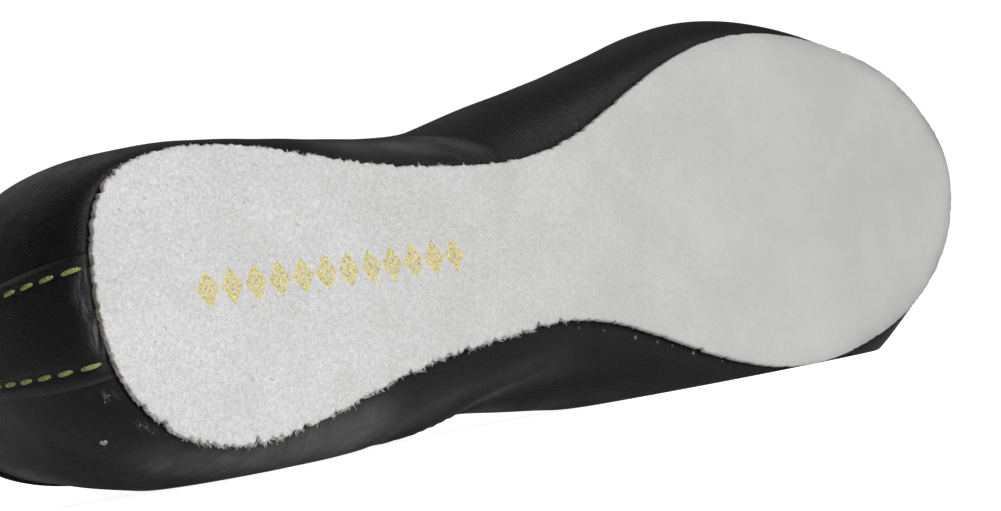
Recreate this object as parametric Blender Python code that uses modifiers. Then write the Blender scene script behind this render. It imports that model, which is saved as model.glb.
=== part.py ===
"""Ghillie dance shoe for the right foot, lying on its medial side.

The shoe is drawn in the frame of its last, in millimetres: x runs from the heel to the
toe, y towards the medial side and z from the sole up to the collar. lay_down() then turns
it onto its side, in metres with +Z up: the sole faces -Y and the toe points along +X.
"""
import math
from collections import namedtuple

import bmesh
import bpy
import numpy as np
from mathutils import Matrix, Vector

MM = 0.001

SOLE_THICKNESS = 1.5
WALL = 1.3
GAP = 0.3
LASTING_MARGIN = 9.0
FEATHER_INSET = 0.4
INSOLE_THICKNESS = 1.5
INSOLE_INSET = 2.2

TOE_SPRING = 3.0
TOE_SPRING_START = 180.0
SOLE_LENGTH = 243.0
ARCH_RISE = 1.5
ARCH_START = 50.0
ARCH_LENGTH = 100.0

STRIP_HALF_WIDTH = 11.3
STRIP_CENTRE = -1.3
STRIP_TAPER = 0.24
STRIP_THICKNESS = 1.0
STRIP_FOOT_LEVEL = 0.3
STRIP_TOP_LEVEL = 1.94
STRIP_COLUMNS = 9
STRIP_ROWS = 13

# Place of each pair of lace loops along the opening's edge, and how far the loops sit
# below the wall, whose curve is stronger at the ball.
LacePair = namedtuple("LacePair", "rim_x sink")
LACE_PAIRS = (
    LacePair(160, 0.2),
    LacePair(141, 1.0),
    LacePair(122, 1.3),
    LacePair(103, 0.8),
)
LOOP_RING = 4.0
LOOP_HOLE = 2.6
LOOP_TAIL = 8.5
LOOP_TAIL_WIDTH = 7.0
LOOP_THICKNESS = 2.0
LOOP_REACH = 3.4
LOOP_ARC_START = -30.0
LOOP_ARC = 240.0
LOOP_ARC_STEPS = 12
LOOP_LEVEL = 1.6

# The floor under the shoe's side, as slopes of its height along the last's x and z.
FLOOR_SLOPE_LENGTH = 0.035
FLOOR_SLOPE_HEIGHT = -0.04
PRESS_SOFTNESS = 0.6
HARD_SOFTNESS = 0.0001

# One row for each section of the last, from the back of the heel to the tip of the toe.
# medial and lateral are the sole's half widths, swell_m and swell_l how far the upper
# bulges past them, belly the height of the widest place. rim_x, rim_half and rim_z are
# the opening's edge, and crest is the share of the rise that is left there.
Section = namedtuple(
    "Section", "x medial lateral swell_m swell_l belly rim_x rim_half rim_z crest")
SECTIONS = (
    Section(0, 0, 0, 6.5, 6.5, 22, 0, 0, 59, 0.9),
    Section(4, 15, 20, 6.8, 5.6, 22, 3.5, 16.5, 58, 0.9),
    Section(15, 24.5, 27.5, 4.4, 3.7, 22, 14.5, 24.5, 55, 0.9),
    Section(36, 26.5, 27.5, 7.2, 3.9, 23, 36, 27.5, 50, 0.9),
    Section(64, 21, 21, 12.4, 8.2, 23, 62, 28.5, 47, 0.9),
    Section(92, 18, 17, 12.8, 10.2, 20, 86, 27, 49, 0.8),
    Section(118, 18.5, 18, 15.5, 13.4, 18, 107, 25, 51, 0.7),
    Section(145, 29.5, 28.5, 10.3, 8.3, 15, 127, 22, 48, 0.6),
    Section(172, 37.5, 35.5, 7.1, 6.3, 14, 144, 18.5, 44, 0.55),
    Section(196, 36.5, 33.5, 8.0, 4.4, 13, 156, 14.5, 41, 0.5),
    Section(218, 30, 26.5, 4.0, 3.0, 12, 163, 10, 39, 0.5),
    Section(232, 21, 18, 3.2, 2.4, 10, 166.5, 6, 38.3, 0.5),
    Section(240, 11, 8, 2.4, 2.2, 9, 168, 2.8, 38, 0.5),
    Section(243, 0, 0, 2.2, 2.2, 9, 168.4, 0, 38, 0.5),
)
SAMPLES_PER_SECTION = 4
SLOPE_STEP = 0.01
OUTLINE_SAMPLES = 40
OPENING_CENTRE_HEEL = 0.2
OPENING_CENTRE_TOE = 1.0

UNDER_STEPS = 4
SIDE_STEPS = 9
SIDE_START_PULL = 1.2
SIDE_END_PULL = 1.45
SOLE_COLUMNS = 6

SUEDE = ("grey_suede", (0.56, 0.56, 0.57), 0.95, 0.0)
LEATHER = ("black_leather", (0.012, 0.012, 0.013), 0.42, 0.0)
LINING = ("pale_lining", (0.42, 0.36, 0.29), 0.85, 0.0)


def clear_scene():
    """Remove the objects that the scene starts with."""
    for item in list(bpy.data.objects):
        bpy.data.objects.remove(item, do_unlink=True)


def sole_height(x):
    """Height of the sole's upper face along the last: arch and toe spring."""
    x = np.asarray(x, float)
    toe = np.clip((x - TOE_SPRING_START) / (SOLE_LENGTH - TOE_SPRING_START), 0.0, None)
    arch = np.sin(math.pi * np.clip((x - ARCH_START) / ARCH_LENGTH, 0.0, 1.0))
    return SOLE_THICKNESS + TOE_SPRING * toe ** 2 + ARCH_RISE * arch ** 2


def opening_centre(x):
    """Side shift of the opening's middle line at x."""
    share = np.clip(np.asarray(x, float) / TOE_SPRING_START, 0.0, 1.0)
    return OPENING_CENTRE_HEEL + (OPENING_CENTRE_TOE - OPENING_CENTRE_HEEL) * share


def side_rows(side):
    """The table as points on one side: +1 medial, -1 lateral."""
    rows = []
    for section in SECTIONS:
        half = section.medial if side > 0 else section.lateral
        swell = section.swell_m if side > 0 else section.swell_l
        rim_y = opening_centre(section.rim_x) + side * section.rim_half
        rows.append((section.x, side * half, swell, section.belly,
                     section.rim_x, rim_y, section.rim_z, section.crest))
    return np.array(rows, float)


class RingSpline:
    """A closed cubic spline through the table's rows, medial side first."""

    def __init__(self):
        medial = side_rows(1.0)
        lateral = side_rows(-1.0)
        steps = np.zeros(len(SECTIONS) - 1)
        for side in (medial, lateral):
            steps += 0.5 * np.linalg.norm(np.diff(side[:, :2], axis=0), axis=1)
        self.steps = np.concatenate([np.sqrt(steps), np.sqrt(steps[::-1])])
        self.points = np.vstack([medial, lateral[-2:0:-1]])
        self.bends = self.solve_bends()

    def solve_bends(self):
        """Second derivatives at the knots."""
        count = len(self.points)
        system = np.zeros((count, count))
        right = np.zeros_like(self.points)
        for row in range(count):
            before = self.steps[row - 1]
            after = self.steps[row]
            following = (row + 1) % count
            system[row, row - 1] += before
            system[row, row] += 2.0 * (before + after)
            system[row, following] += after
            rise = (self.points[following] - self.points[row]) / after
            fall = (self.points[row] - self.points[row - 1]) / before
            right[row] = 6.0 * (rise - fall)
        return np.linalg.solve(system, right)

    def at(self, places):
        """Table values at the given places; whole numbers are the rows."""
        count = len(self.points)
        places = np.mod(np.asarray(places, float), count)
        span = np.minimum(places.astype(int), count - 1)
        width = self.steps[span][:, None]
        left = (places - span)[:, None] * width
        rest = width - left
        here = self.points[span]
        there = self.points[(span + 1) % count]
        bend_here = self.bends[span]
        bend_there = self.bends[(span + 1) % count]
        cubic = (bend_here * rest ** 3 + bend_there * left ** 3) / (6.0 * width)
        line = (here / width - bend_here * width / 6.0) * rest
        return cubic + line + (there / width - bend_there * width / 6.0) * left

    def outward(self, places):
        """Unit vectors that point out of the sole's outline."""
        places = np.asarray(places, float)
        along = self.at(places + SLOPE_STEP) - self.at(places - SLOPE_STEP)
        normal = np.stack([-along[:, 1], along[:, 0]], axis=1)
        return normal / np.linalg.norm(normal, axis=1)[:, None]


RING = RingSpline()
TOE_PLACE = len(SECTIONS) - 1


def upper_profile(places, levels):
    """Points of the upper's outer face in the frame of the last.

    A level of -1 is the inner edge of the lasting margin, 0 the feather edge,
    1 the widest place and 2 the edge of the opening.
    """
    values = RING.at(places)
    normal = RING.outward(places)
    edge = values[:, :2]
    swell, belly, rim_x, rim_y, rim_z, crest = values[:, 2:].T
    levels = np.asarray(levels, float)
    if levels.ndim == 0:
        levels = np.full(len(edge), float(levels))
    points = np.zeros((len(edge), 3))
    margin = np.clip(-levels, 0.0, 1.0)
    inset = FEATHER_INSET + margin * (LASTING_MARGIN - FEATHER_INSET)
    turn = 0.5 * math.pi * np.clip(levels, 0.0, 1.0)
    out = (swell + FEATHER_INSET) * np.sin(turn) - inset
    points[:, :2] = edge + normal * out[:, None]
    ground = sole_height(points[:, 0])
    points[:, 2] = ground + GAP + (belly - GAP) * (1.0 - np.cos(turn))
    side = np.clip(levels - 1.0, 0.0, 1.0)
    widest = points.copy()
    rim = np.stack([rim_x, rim_y, rim_z], axis=1)
    run = rim - widest
    start = np.zeros_like(run)
    start[:, 2] = SIDE_START_PULL * run[:, 2]
    end = run * np.array([SIDE_END_PULL, SIDE_END_PULL, 0.0])
    end[:, 2] = crest * run[:, 2]
    t = side[:, None]
    climbed = (widest * (2 * t ** 3 - 3 * t ** 2 + 1) + start * (t ** 3 - 2 * t ** 2 + t)
               + rim * (3 * t ** 2 - 2 * t ** 3) + end * (t ** 3 - t ** 2))
    return np.where(side[:, None] > 0.0, climbed, points)


def floor_frame():
    """Rotation from the last's frame to the world's, and the floor's offset."""
    down = np.array([-FLOOR_SLOPE_LENGTH, 1.0, -FLOOR_SLOPE_HEIGHT])
    scale = np.linalg.norm(down)
    down /= scale
    along = np.array([1.0, 0.0, 0.0]) - down[0] * down
    along /= np.linalg.norm(along)
    across = np.cross(-down, along)
    edge = RING.at(np.linspace(0, TOE_PLACE, OUTLINE_SAMPLES * TOE_PLACE))
    lean = (edge[:, 1] - FLOOR_SLOPE_LENGTH * edge[:, 0]
            - FLOOR_SLOPE_HEIGHT * sole_height(edge[:, 0]))
    return np.stack([along, across, -down]), lean.max() / scale


TURN, FLOOR_OFFSET = floor_frame()


def lay_down(points):
    """Turn points of the last's frame, in mm, into world points in metres."""
    points = np.asarray(points, float)
    world = points @ TURN.T
    world[..., 2] += FLOOR_OFFSET
    return world * MM


def press_on_floor(world, softness=PRESS_SOFTNESS):
    """Flatten what would reach below the floor, with a soft edge to the flat spot."""
    softness *= MM
    height = world[..., 2]
    soft = (height + softness) ** 2 / (4.0 * softness)
    pressed = np.where(height < -softness, 0.0, np.where(height < softness, soft, height))
    world = world.copy()
    world[..., 2] = pressed
    return world


def finish_material(finish):
    """Principled material from a named finish."""
    name, colour, roughness, metallic = finish
    material = bpy.data.materials.get(name)
    if material is None:
        material = bpy.data.materials.new(name)
        material.use_nodes = True
        shader = material.node_tree.nodes["Principled BSDF"]
        shader.inputs["Base Color"].default_value = (*colour, 1.0)
        shader.inputs["Roughness"].default_value = roughness
        shader.inputs["Metallic"].default_value = metallic
    return material


def add_object(name, data, collection, root, finish):
    """Link an object to the shoe's collection under its root."""
    data.materials.append(finish_material(finish))
    item = bpy.data.objects.new(name, data)
    item.parent = root
    collection.objects.link(item)
    return item


def grid_mesh(name, grid, closed):
    """Open surface over a grid of points, rows joined end to end if closed."""
    rows, columns, _ = grid.shape
    mesh = bpy.data.meshes.new(name)
    build = bmesh.new()
    vertices = [[build.verts.new(point) for point in row] for row in grid]
    for row in range(rows if closed else rows - 1):
        here = vertices[row]
        there = vertices[(row + 1) % rows]
        for column in range(columns - 1):
            build.faces.new((here[column], here[column + 1],
                             there[column + 1], there[column]))
    build.to_mesh(mesh)
    build.free()
    mesh.shade_smooth()
    return mesh


def plate_mesh(name, inset, lift):
    """Open surface over the sole's outline, drawn in by inset and raised by lift."""
    steps = SAMPLES_PER_SECTION * TOE_PLACE
    places = np.linspace(0, TOE_PLACE, steps + 1)
    sides = []
    for direction in (1.0, -1.0):
        edge = RING.at(direction * places)[:, :2]
        sides.append(edge - inset * RING.outward(direction * places))
    mesh = bpy.data.meshes.new(name)
    build = bmesh.new()
    rows = []
    for step in range(steps + 1):
        tip = step in (0, steps)
        shares = (0.5,) if tip else np.linspace(0.0, 1.0, SOLE_COLUMNS + 1)
        row = []
        for share in shares:
            x, y = sides[0][step] * share + sides[1][step] * (1.0 - share)
            world = lay_down((x, y, sole_height(x) + lift))
            row.append(build.verts.new(press_on_floor(world, HARD_SOFTNESS)))
        rows.append(row)
    for here, there in zip(rows, rows[1:]):
        for column in range(SOLE_COLUMNS):
            if len(here) == 1:
                build.faces.new((here[0], there[column], there[column + 1]))
            elif len(there) == 1:
                build.faces.new((here[column + 1], here[column], there[0]))
            else:
                build.faces.new((here[column], there[column],
                                 there[column + 1], here[column + 1]))
    build.to_mesh(mesh)
    build.free()
    return mesh


def solidify(item, thickness, offset):
    """Give an open surface its thickness to one side."""
    shell = item.modifiers.new("thickness", "SOLIDIFY")
    shell.thickness = thickness * MM
    shell.offset = offset
    shell.use_even_offset = True
    shell.use_quality_normals = True


def upper_levels():
    """Levels of the upper's rings, from the lasting margin to the opening."""
    under = np.linspace(0.0, 1.0, UNDER_STEPS + 1)
    side = np.linspace(1.0, 2.0, SIDE_STEPS + 1)[1:]
    return np.concatenate([[-1.0], under, side])


def build_upper(collection, root):
    """Hollow leather upper, open at the collar and throat and underneath."""
    count = 2 * TOE_PLACE * SAMPLES_PER_SECTION
    places = np.arange(count) / SAMPLES_PER_SECTION
    rings = [press_on_floor(lay_down(upper_profile(places, level)))
             for level in upper_levels()]
    mesh = grid_mesh("upper", np.stack(rings, axis=1), closed=True)
    item = add_object("upper", mesh, collection, root, LEATHER)
    solidify(item, WALL, -1.0)
    return item


def build_soles(collection, root):
    """Suede outsole under the feather edge and insole on the lasting margin."""
    outsole = add_object("outsole", plate_mesh("outsole", 0.0, 0.0),
                         collection, root, SUEDE)
    solidify(outsole, SOLE_THICKNESS, -1.0)
    lift = GAP + WALL + GAP
    insole = add_object("insole", plate_mesh("insole", INSOLE_INSET, lift),
                        collection, root, LINING)
    solidify(insole, INSOLE_THICKNESS, 1.0)


def build_back_strip(collection, root):
    """Strip of leather up the back of the heel, on the upper's own surface."""
    turns = np.linspace(-1.0, 1.0, STRIP_COLUMNS)
    levels = np.linspace(STRIP_FOOT_LEVEL, STRIP_TOP_LEVEL, STRIP_ROWS)
    heel = np.linspace(-1.0, 1.0, 2 * OUTLINE_SAMPLES + 1)
    spread = STRIP_CENTRE + turns * STRIP_HALF_WIDTH
    foot = np.interp(spread, RING.at(heel)[:, 1], heel)
    grid = np.zeros((len(turns), len(levels), 3))
    for column, level in enumerate(levels):
        places = foot * (1.0 - STRIP_TAPER * min(level, 1.0))
        here = upper_profile(places, level)
        along = (upper_profile(places + SLOPE_STEP, level)
                 - upper_profile(places - SLOPE_STEP, level))
        rise = (upper_profile(places, level + SLOPE_STEP)
                - upper_profile(places, level - SLOPE_STEP))
        normal = np.cross(rise, along)
        normal /= np.linalg.norm(normal, axis=1)[:, None]
        grid[:, column] = here + normal * (GAP + 0.5 * STRIP_THICKNESS)
    mesh = grid_mesh("back_strip", lay_down(grid), closed=False)
    item = add_object("back_strip", mesh, collection, root, LEATHER)
    solidify(item, STRIP_THICKNESS, 0.0)


def loop_outline():
    """Outline of a lace loop: a tail that widens into a ring around its hole."""
    half = 0.5 * LOOP_TAIL_WIDTH
    points = [(-half, -LOOP_TAIL), (half, -LOOP_TAIL)]
    for step in range(LOOP_ARC_STEPS + 1):
        turn = math.radians(LOOP_ARC_START + LOOP_ARC * step / LOOP_ARC_STEPS)
        points.append((LOOP_RING * math.cos(turn),
                       LOOP_REACH + LOOP_RING * math.sin(turn)))
    return points


def loop_hole():
    """Round hole of a lace loop."""
    turns = [2.0 * math.pi * step / LOOP_ARC_STEPS for step in range(LOOP_ARC_STEPS)]
    return [(LOOP_HOLE * math.cos(turn), LOOP_REACH + LOOP_HOLE * math.sin(turn))
            for turn in turns]


def loop_curve():
    """Flat curve of a lace loop, shared by all of them."""
    curve = bpy.data.curves.new("lace_loop", "CURVE")
    curve.dimensions = "2D"
    curve.fill_mode = "BOTH"
    curve.extrude = 0.5 * LOOP_THICKNESS * MM
    for points in (loop_outline(), loop_hole()):
        spline = curve.splines.new("POLY")
        spline.points.add(len(points) - 1)
        spline.use_cyclic_u = True
        for point, (x, y) in zip(spline.points, points):
            point.co = (x * MM, y * MM, 0.0, 1.0)
    return curve


def loop_frame(pair, side):
    """World placement of a lace loop at the opening's edge."""
    places = np.linspace(0.0, TOE_PLACE, OUTLINE_SAMPLES * TOE_PLACE)
    rims = RING.at(side * places)[:, 4]
    place = side * float(np.interp(pair.rim_x, rims, places))
    rim = upper_profile([place], 2.0)[0]
    along = (upper_profile([place + SLOPE_STEP], 2.0)[0]
             - upper_profile([place - SLOPE_STEP], 2.0)[0])
    inner = rim - upper_profile([place], LOOP_LEVEL)[0]
    along /= np.linalg.norm(along)
    inner -= along * np.dot(inner, along)
    inner /= np.linalg.norm(inner)
    inward = np.cross(along, inner)
    centre = rim + inward * (WALL + GAP + pair.sink + 0.5 * LOOP_THICKNESS)
    axes = np.stack([along, inner, inward]) @ TURN.T
    place_world = Matrix.Translation(Vector(lay_down(centre)))
    return place_world @ Matrix(axes.T.tolist()).to_4x4()


def build_lace_loops(collection, root):
    """Four leather lace loops on each side of the throat."""
    curve = loop_curve()
    for side, label in ((1.0, "medial"), (-1.0, "lateral")):
        for number, pair in enumerate(LACE_PAIRS, 1):
            item = add_object(f"lace_loop_{label}_{number}", curve.copy(),
                              collection, root, LEATHER)
            item.matrix_local = loop_frame(pair, side)


def centre_on_floor(root, collection):
    """Move the root so that the origin is under the middle of the shoe's box."""
    bpy.context.view_layer.update()
    graph = bpy.context.evaluated_depsgraph_get()
    points = []
    for item in collection.objects:
        if item.type == "EMPTY":
            continue
        shape = item.evaluated_get(graph)
        mesh = shape.to_mesh()
        points.extend(shape.matrix_world @ vertex.co for vertex in mesh.vertices)
        shape.to_mesh_clear()
    points = np.array(points)
    middle = 0.5 * (points.min(axis=0) + points.max(axis=0))
    root.location = (-middle[0], -middle[1], 0.0)
    bpy.context.view_layer.update()


def build_shoe():
    """Build every piece of the shoe."""
    clear_scene()
    collection = bpy.data.collections.new("ghillie_dance_shoe")
    bpy.context.scene.collection.children.link(collection)
    root = bpy.data.objects.new("shoe_root", None)
    collection.objects.link(root)
    build_upper(collection, root)
    build_soles(collection, root)
    build_back_strip(collection, root)
    build_lace_loops(collection, root)
    centre_on_floor(root, collection)


build_shoe()
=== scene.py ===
"""Ghillie dance shoe for the right foot, in black leather with a pale suede sole.

The shoe lies on its medial side. Sizes are in millimetres in the frame of the shoe's
last, as in the part's source: x runs from the heel to the toe, y towards the medial side
and z from the sole's lower face up to the collar. Last.to_world() turns that frame onto
the floor, in metres.
"""
import logging
import math
from dataclasses import dataclass
from enum import Enum
from typing import Optional, Sequence

import bpy
import numpy as np
from mathutils import Matrix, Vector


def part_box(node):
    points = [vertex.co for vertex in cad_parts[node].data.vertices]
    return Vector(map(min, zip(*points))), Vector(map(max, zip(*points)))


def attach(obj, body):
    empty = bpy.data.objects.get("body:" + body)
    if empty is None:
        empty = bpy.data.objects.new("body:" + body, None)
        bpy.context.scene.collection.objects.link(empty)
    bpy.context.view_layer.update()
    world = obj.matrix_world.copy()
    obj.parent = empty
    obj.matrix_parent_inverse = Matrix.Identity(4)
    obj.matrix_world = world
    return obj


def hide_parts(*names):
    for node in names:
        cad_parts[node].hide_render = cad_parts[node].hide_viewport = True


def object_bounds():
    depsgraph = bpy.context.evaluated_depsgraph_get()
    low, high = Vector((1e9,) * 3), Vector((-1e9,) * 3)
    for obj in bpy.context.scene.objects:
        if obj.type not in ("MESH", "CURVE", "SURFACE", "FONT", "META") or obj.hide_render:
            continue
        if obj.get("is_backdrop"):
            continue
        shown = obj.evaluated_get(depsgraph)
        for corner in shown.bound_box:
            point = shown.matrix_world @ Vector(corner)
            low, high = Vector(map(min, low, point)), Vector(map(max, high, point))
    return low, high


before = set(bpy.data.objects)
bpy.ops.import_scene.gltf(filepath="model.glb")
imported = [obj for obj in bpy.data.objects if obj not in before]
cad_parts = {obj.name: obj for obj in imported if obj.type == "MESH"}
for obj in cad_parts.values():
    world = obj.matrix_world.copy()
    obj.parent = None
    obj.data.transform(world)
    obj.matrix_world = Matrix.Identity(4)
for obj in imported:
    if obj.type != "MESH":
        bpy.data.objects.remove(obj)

LOG = logging.getLogger("ghillie_shoe")
MM = 0.001
WHITE = (1.0, 1.0, 1.0, 1.0)


class Side(Enum):
    """Side of the foot."""

    MEDIAL = 1.0
    LATERAL = -1.0


@dataclass(frozen=True)
class Section:
    """One cross-section of the last, in millimetres.

    medial and lateral are the sole's half widths, swell_m and swell_l how far the upper
    bulges past them, belly the height of the widest place. rim_x, rim_half and rim_z
    are the opening's edge, and crest is the share of the rise that is left there.
    """

    x: float
    medial: float
    lateral: float
    swell_m: float
    swell_l: float
    belly: float
    rim_x: float
    rim_half: float
    rim_z: float
    crest: float


SECTIONS = (
    Section(0, 0, 0, 6.5, 6.5, 22, 0, 0, 59, 0.9),
    Section(4, 15, 20, 6.8, 5.6, 22, 3.5, 16.5, 58, 0.9),
    Section(15, 24.5, 27.5, 4.4, 3.7, 22, 14.5, 24.5, 55, 0.9),
    Section(36, 26.5, 27.5, 7.2, 3.9, 23, 36, 27.5, 50, 0.9),
    Section(64, 21, 21, 12.4, 8.2, 23, 62, 28.5, 47, 0.9),
    Section(92, 18, 17, 12.8, 10.2, 20, 86, 27, 49, 0.8),
    Section(118, 18.5, 18, 15.5, 13.4, 18, 107, 25, 51, 0.7),
    Section(145, 29.5, 28.5, 10.3, 8.3, 15, 127, 22, 48, 0.6),
    Section(172, 37.5, 35.5, 7.1, 6.3, 14, 144, 18.5, 44, 0.55),
    Section(196, 36.5, 33.5, 8.0, 4.4, 13, 156, 14.5, 41, 0.5),
    Section(218, 30, 26.5, 4.0, 3.0, 12, 163, 10, 39, 0.5),
    Section(232, 21, 18, 3.2, 2.4, 10, 166.5, 6, 38.3, 0.5),
    Section(240, 11, 8, 2.4, 2.2, 9, 168, 2.8, 38, 0.5),
    Section(243, 0, 0, 2.2, 2.2, 9, 168.4, 0, 38, 0.5),
)


@dataclass
class Last:
    """The last that the whole shoe is drawn on, and its place on the floor."""

    sole_thickness: float = 1.5
    wall: float = 1.3
    gap: float = 0.3
    margin: float = 9.0
    feather_inset: float = 0.4
    toe_spring: float = 3.0
    spring_start: float = 180.0
    length: float = 243.0
    arch_rise: float = 1.5
    arch_start: float = 50.0
    arch_length: float = 100.0
    centre_heel: float = 0.2
    centre_toe: float = 1.0
    start_pull: float = 1.2
    end_pull: float = 1.45
    slope_length: float = 0.035
    slope_height: float = -0.04
    softness: float = 0.6
    step: float = 0.01

    def __post_init__(self) -> None:
        """Solve the spline and find the shoe's place on the floor."""
        self.toe_place = len(SECTIONS) - 1
        self._solve_ring()
        self._place_on_floor()

    def sole_height(self, x: np.ndarray) -> np.ndarray:
        """Height of the sole's upper face: thickness, arch and toe spring.

        Args:
            x: distances from the heel.

        Returns:
            A height for each of them.
        """
        x = np.asarray(x, float)
        run = self.length - self.spring_start
        toe = np.clip((x - self.spring_start) / run, 0.0, None)
        arch = np.clip((x - self.arch_start) / self.arch_length, 0.0, 1.0)
        rise = self.arch_rise * np.sin(math.pi * arch) ** 2
        return self.sole_thickness + self.toe_spring * toe ** 2 + rise

    def opening_centre(self, x: float) -> float:
        """Side shift of the opening's middle line at x."""
        share = min(max(x / self.spring_start, 0.0), 1.0)
        return self.centre_heel + (self.centre_toe - self.centre_heel) * share

    def _side_rows(self, side: Side) -> np.ndarray:
        """The sections as points on one side of the shoe.

        Args:
            side: the side that is drawn.

        Returns:
            One row of eight values for each section.
        """
        rows = []
        for s in SECTIONS:
            half = s.medial if side is Side.MEDIAL else s.lateral
            swell = s.swell_m if side is Side.MEDIAL else s.swell_l
            rim_y = self.opening_centre(s.rim_x) + side.value * s.rim_half
            rows.append((s.x, side.value * half, swell, s.belly,
                         s.rim_x, rim_y, s.rim_z, s.crest))
        return np.array(rows, float)

    def _solve_ring(self) -> None:
        """Fit the closed cubic spline through the sections, medial side first."""
        medial = self._side_rows(Side.MEDIAL)
        lateral = self._side_rows(Side.LATERAL)
        steps = np.zeros(len(SECTIONS) - 1)
        for side in (medial, lateral):
            steps += 0.5 * np.linalg.norm(np.diff(side[:, :2], axis=0), axis=1)
        self.steps = np.concatenate([np.sqrt(steps), np.sqrt(steps[::-1])])
        self.points = np.vstack([medial, lateral[-2:0:-1]])
        count = len(self.points)
        system = np.zeros((count, count))
        right = np.zeros_like(self.points)
        for row in range(count):
            before, after = self.steps[row - 1], self.steps[row]
            following = (row + 1) % count
            system[row, row - 1] += before
            system[row, row] += 2.0 * (before + after)
            system[row, following] += after
            rise = (self.points[following] - self.points[row]) / after
            fall = (self.points[row] - self.points[row - 1]) / before
            right[row] = 6.0 * (rise - fall)
        self.bends = np.linalg.solve(system, right)

    def at(self, places: np.ndarray) -> np.ndarray:
        """Section values at places round the sole; whole numbers are the sections.

        Args:
            places: 0 at the heel, 13 at the toe, medial side first.

        Returns:
            One row of eight section values for each place.
        """
        count = len(self.points)
        places = np.mod(np.asarray(places, float), count)
        span = np.minimum(places.astype(int), count - 1)
        width = self.steps[span][:, None]
        left = (places - span)[:, None] * width
        rest = width - left
        here, there = self.points[span], self.points[(span + 1) % count]
        bend_here, bend_there = self.bends[span], self.bends[(span + 1) % count]
        cubic = (bend_here * rest ** 3 + bend_there * left ** 3) / (6.0 * width)
        line = (here / width - bend_here * width / 6.0) * rest
        return cubic + line + (there / width - bend_there * width / 6.0) * left

    def round_places(self, count: int) -> np.ndarray:
        """Even places all round the sole."""
        return np.arange(count) * 2.0 * self.toe_place / count

    def outward(self, places: np.ndarray) -> np.ndarray:
        """Unit vectors that point out of the sole's outline.

        Args:
            places: places round the sole.

        Returns:
            A vector seen from above for each place.
        """
        places = np.asarray(places, float)
        along = self.at(places + self.step) - self.at(places - self.step)
        normal = np.stack([-along[:, 1], along[:, 0]], axis=1)
        return normal / np.linalg.norm(normal, axis=1)[:, None]

    def profile(self, places: np.ndarray, levels: np.ndarray) -> np.ndarray:
        """Points of the upper's outer face.

        Args:
            places: places round the sole.
            levels: -1 the lasting margin's inner edge, 0 the feather edge, 1 the
                widest place, 2 the opening's edge; one for all places or one each.

        Returns:
            Points in the frame of the last.
        """
        values = self.at(places)
        swell, belly, rim_x, rim_y, rim_z, crest = values[:, 2:].T
        levels = np.broadcast_to(np.asarray(levels, float), swell.shape)
        inset = (self.feather_inset
                 + np.clip(-levels, 0.0, 1.0) * (self.margin - self.feather_inset))
        turn = 0.5 * math.pi * np.clip(levels, 0.0, 1.0)
        out = (swell + self.feather_inset) * np.sin(turn) - inset
        widest = np.zeros((len(swell), 3))
        widest[:, :2] = values[:, :2] + self.outward(places) * out[:, None]
        ground = self.sole_height(widest[:, 0])
        widest[:, 2] = ground + self.gap + (belly - self.gap) * (1.0 - np.cos(turn))
        side = np.clip(levels - 1.0, 0.0, 1.0)
        rim = np.stack([rim_x, rim_y, rim_z], axis=1)
        run = rim - widest
        start = np.zeros_like(run)
        start[:, 2] = self.start_pull * run[:, 2]
        end = run * np.array([self.end_pull, self.end_pull, 0.0])
        end[:, 2] = crest * run[:, 2]
        t = side[:, None]
        climbed = (widest * (2 * t ** 3 - 3 * t ** 2 + 1)
                   + start * (t ** 3 - 2 * t ** 2 + t)
                   + rim * (3 * t ** 2 - 2 * t ** 3) + end * (t ** 3 - t ** 2))
        return np.where(side[:, None] > 0.0, climbed, widest)

    def slopes(self, places: np.ndarray,
               levels: np.ndarray | float) -> tuple[np.ndarray, ...]:
        """Unit vectors along the shoe, up the levels and out of the outer face.

        Args:
            places: places round the sole.
            levels: one level for all places or one for each.

        Returns:
            Three rows of vectors in the frame of the last.
        """
        along = (self.profile(places + self.step, levels)
                 - self.profile(places - self.step, levels))
        rise = (self.profile(places, np.minimum(levels + self.step, 2.0))
                - self.profile(places, np.maximum(levels - self.step, -1.0)))
        along /= np.linalg.norm(along, axis=1)[:, None]
        rise /= np.linalg.norm(rise, axis=1)[:, None]
        out = np.cross(rise, along)
        return along, rise, out / np.linalg.norm(out, axis=1)[:, None]

    def _place_on_floor(self) -> None:
        """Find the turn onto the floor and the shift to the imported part."""
        down = np.array([-self.slope_length, 1.0, -self.slope_height])
        scale = np.linalg.norm(down)
        down /= scale
        along = np.array([1.0, 0.0, 0.0]) - down[0] * down
        along /= np.linalg.norm(along)
        self.turn = np.stack([along, np.cross(-down, along), -down])
        edge = self.at(np.linspace(0, 2 * self.toe_place, 1041))
        lean = (edge[:, 1] - self.slope_length * edge[:, 0]
                - self.slope_height * self.sole_height(edge[:, 0]))
        self.floor_offset = lean.max() / scale
        self.shift = np.zeros(3)
        corners = []
        for drop in (0.0, self.sole_thickness):
            height = self.sole_height(edge[:, 0]) - drop
            face = np.column_stack([edge[:, :2], height])
            corners.append(self.to_world(face))
        made = np.vstack(corners)
        low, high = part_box("outsole")
        middle = 0.5 * (made.min(axis=0) + made.max(axis=0))
        packed = 0.5 * (np.array(low) + np.array(high))
        self.shift = np.array([*(packed - middle)[:2], 0.0])

    def to_world(self, points: np.ndarray) -> np.ndarray:
        """World points, in metres, of points in the frame of the last."""
        world = np.asarray(points, float) @ self.turn.T
        world[..., 2] += self.floor_offset
        return world * MM + self.shift

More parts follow.
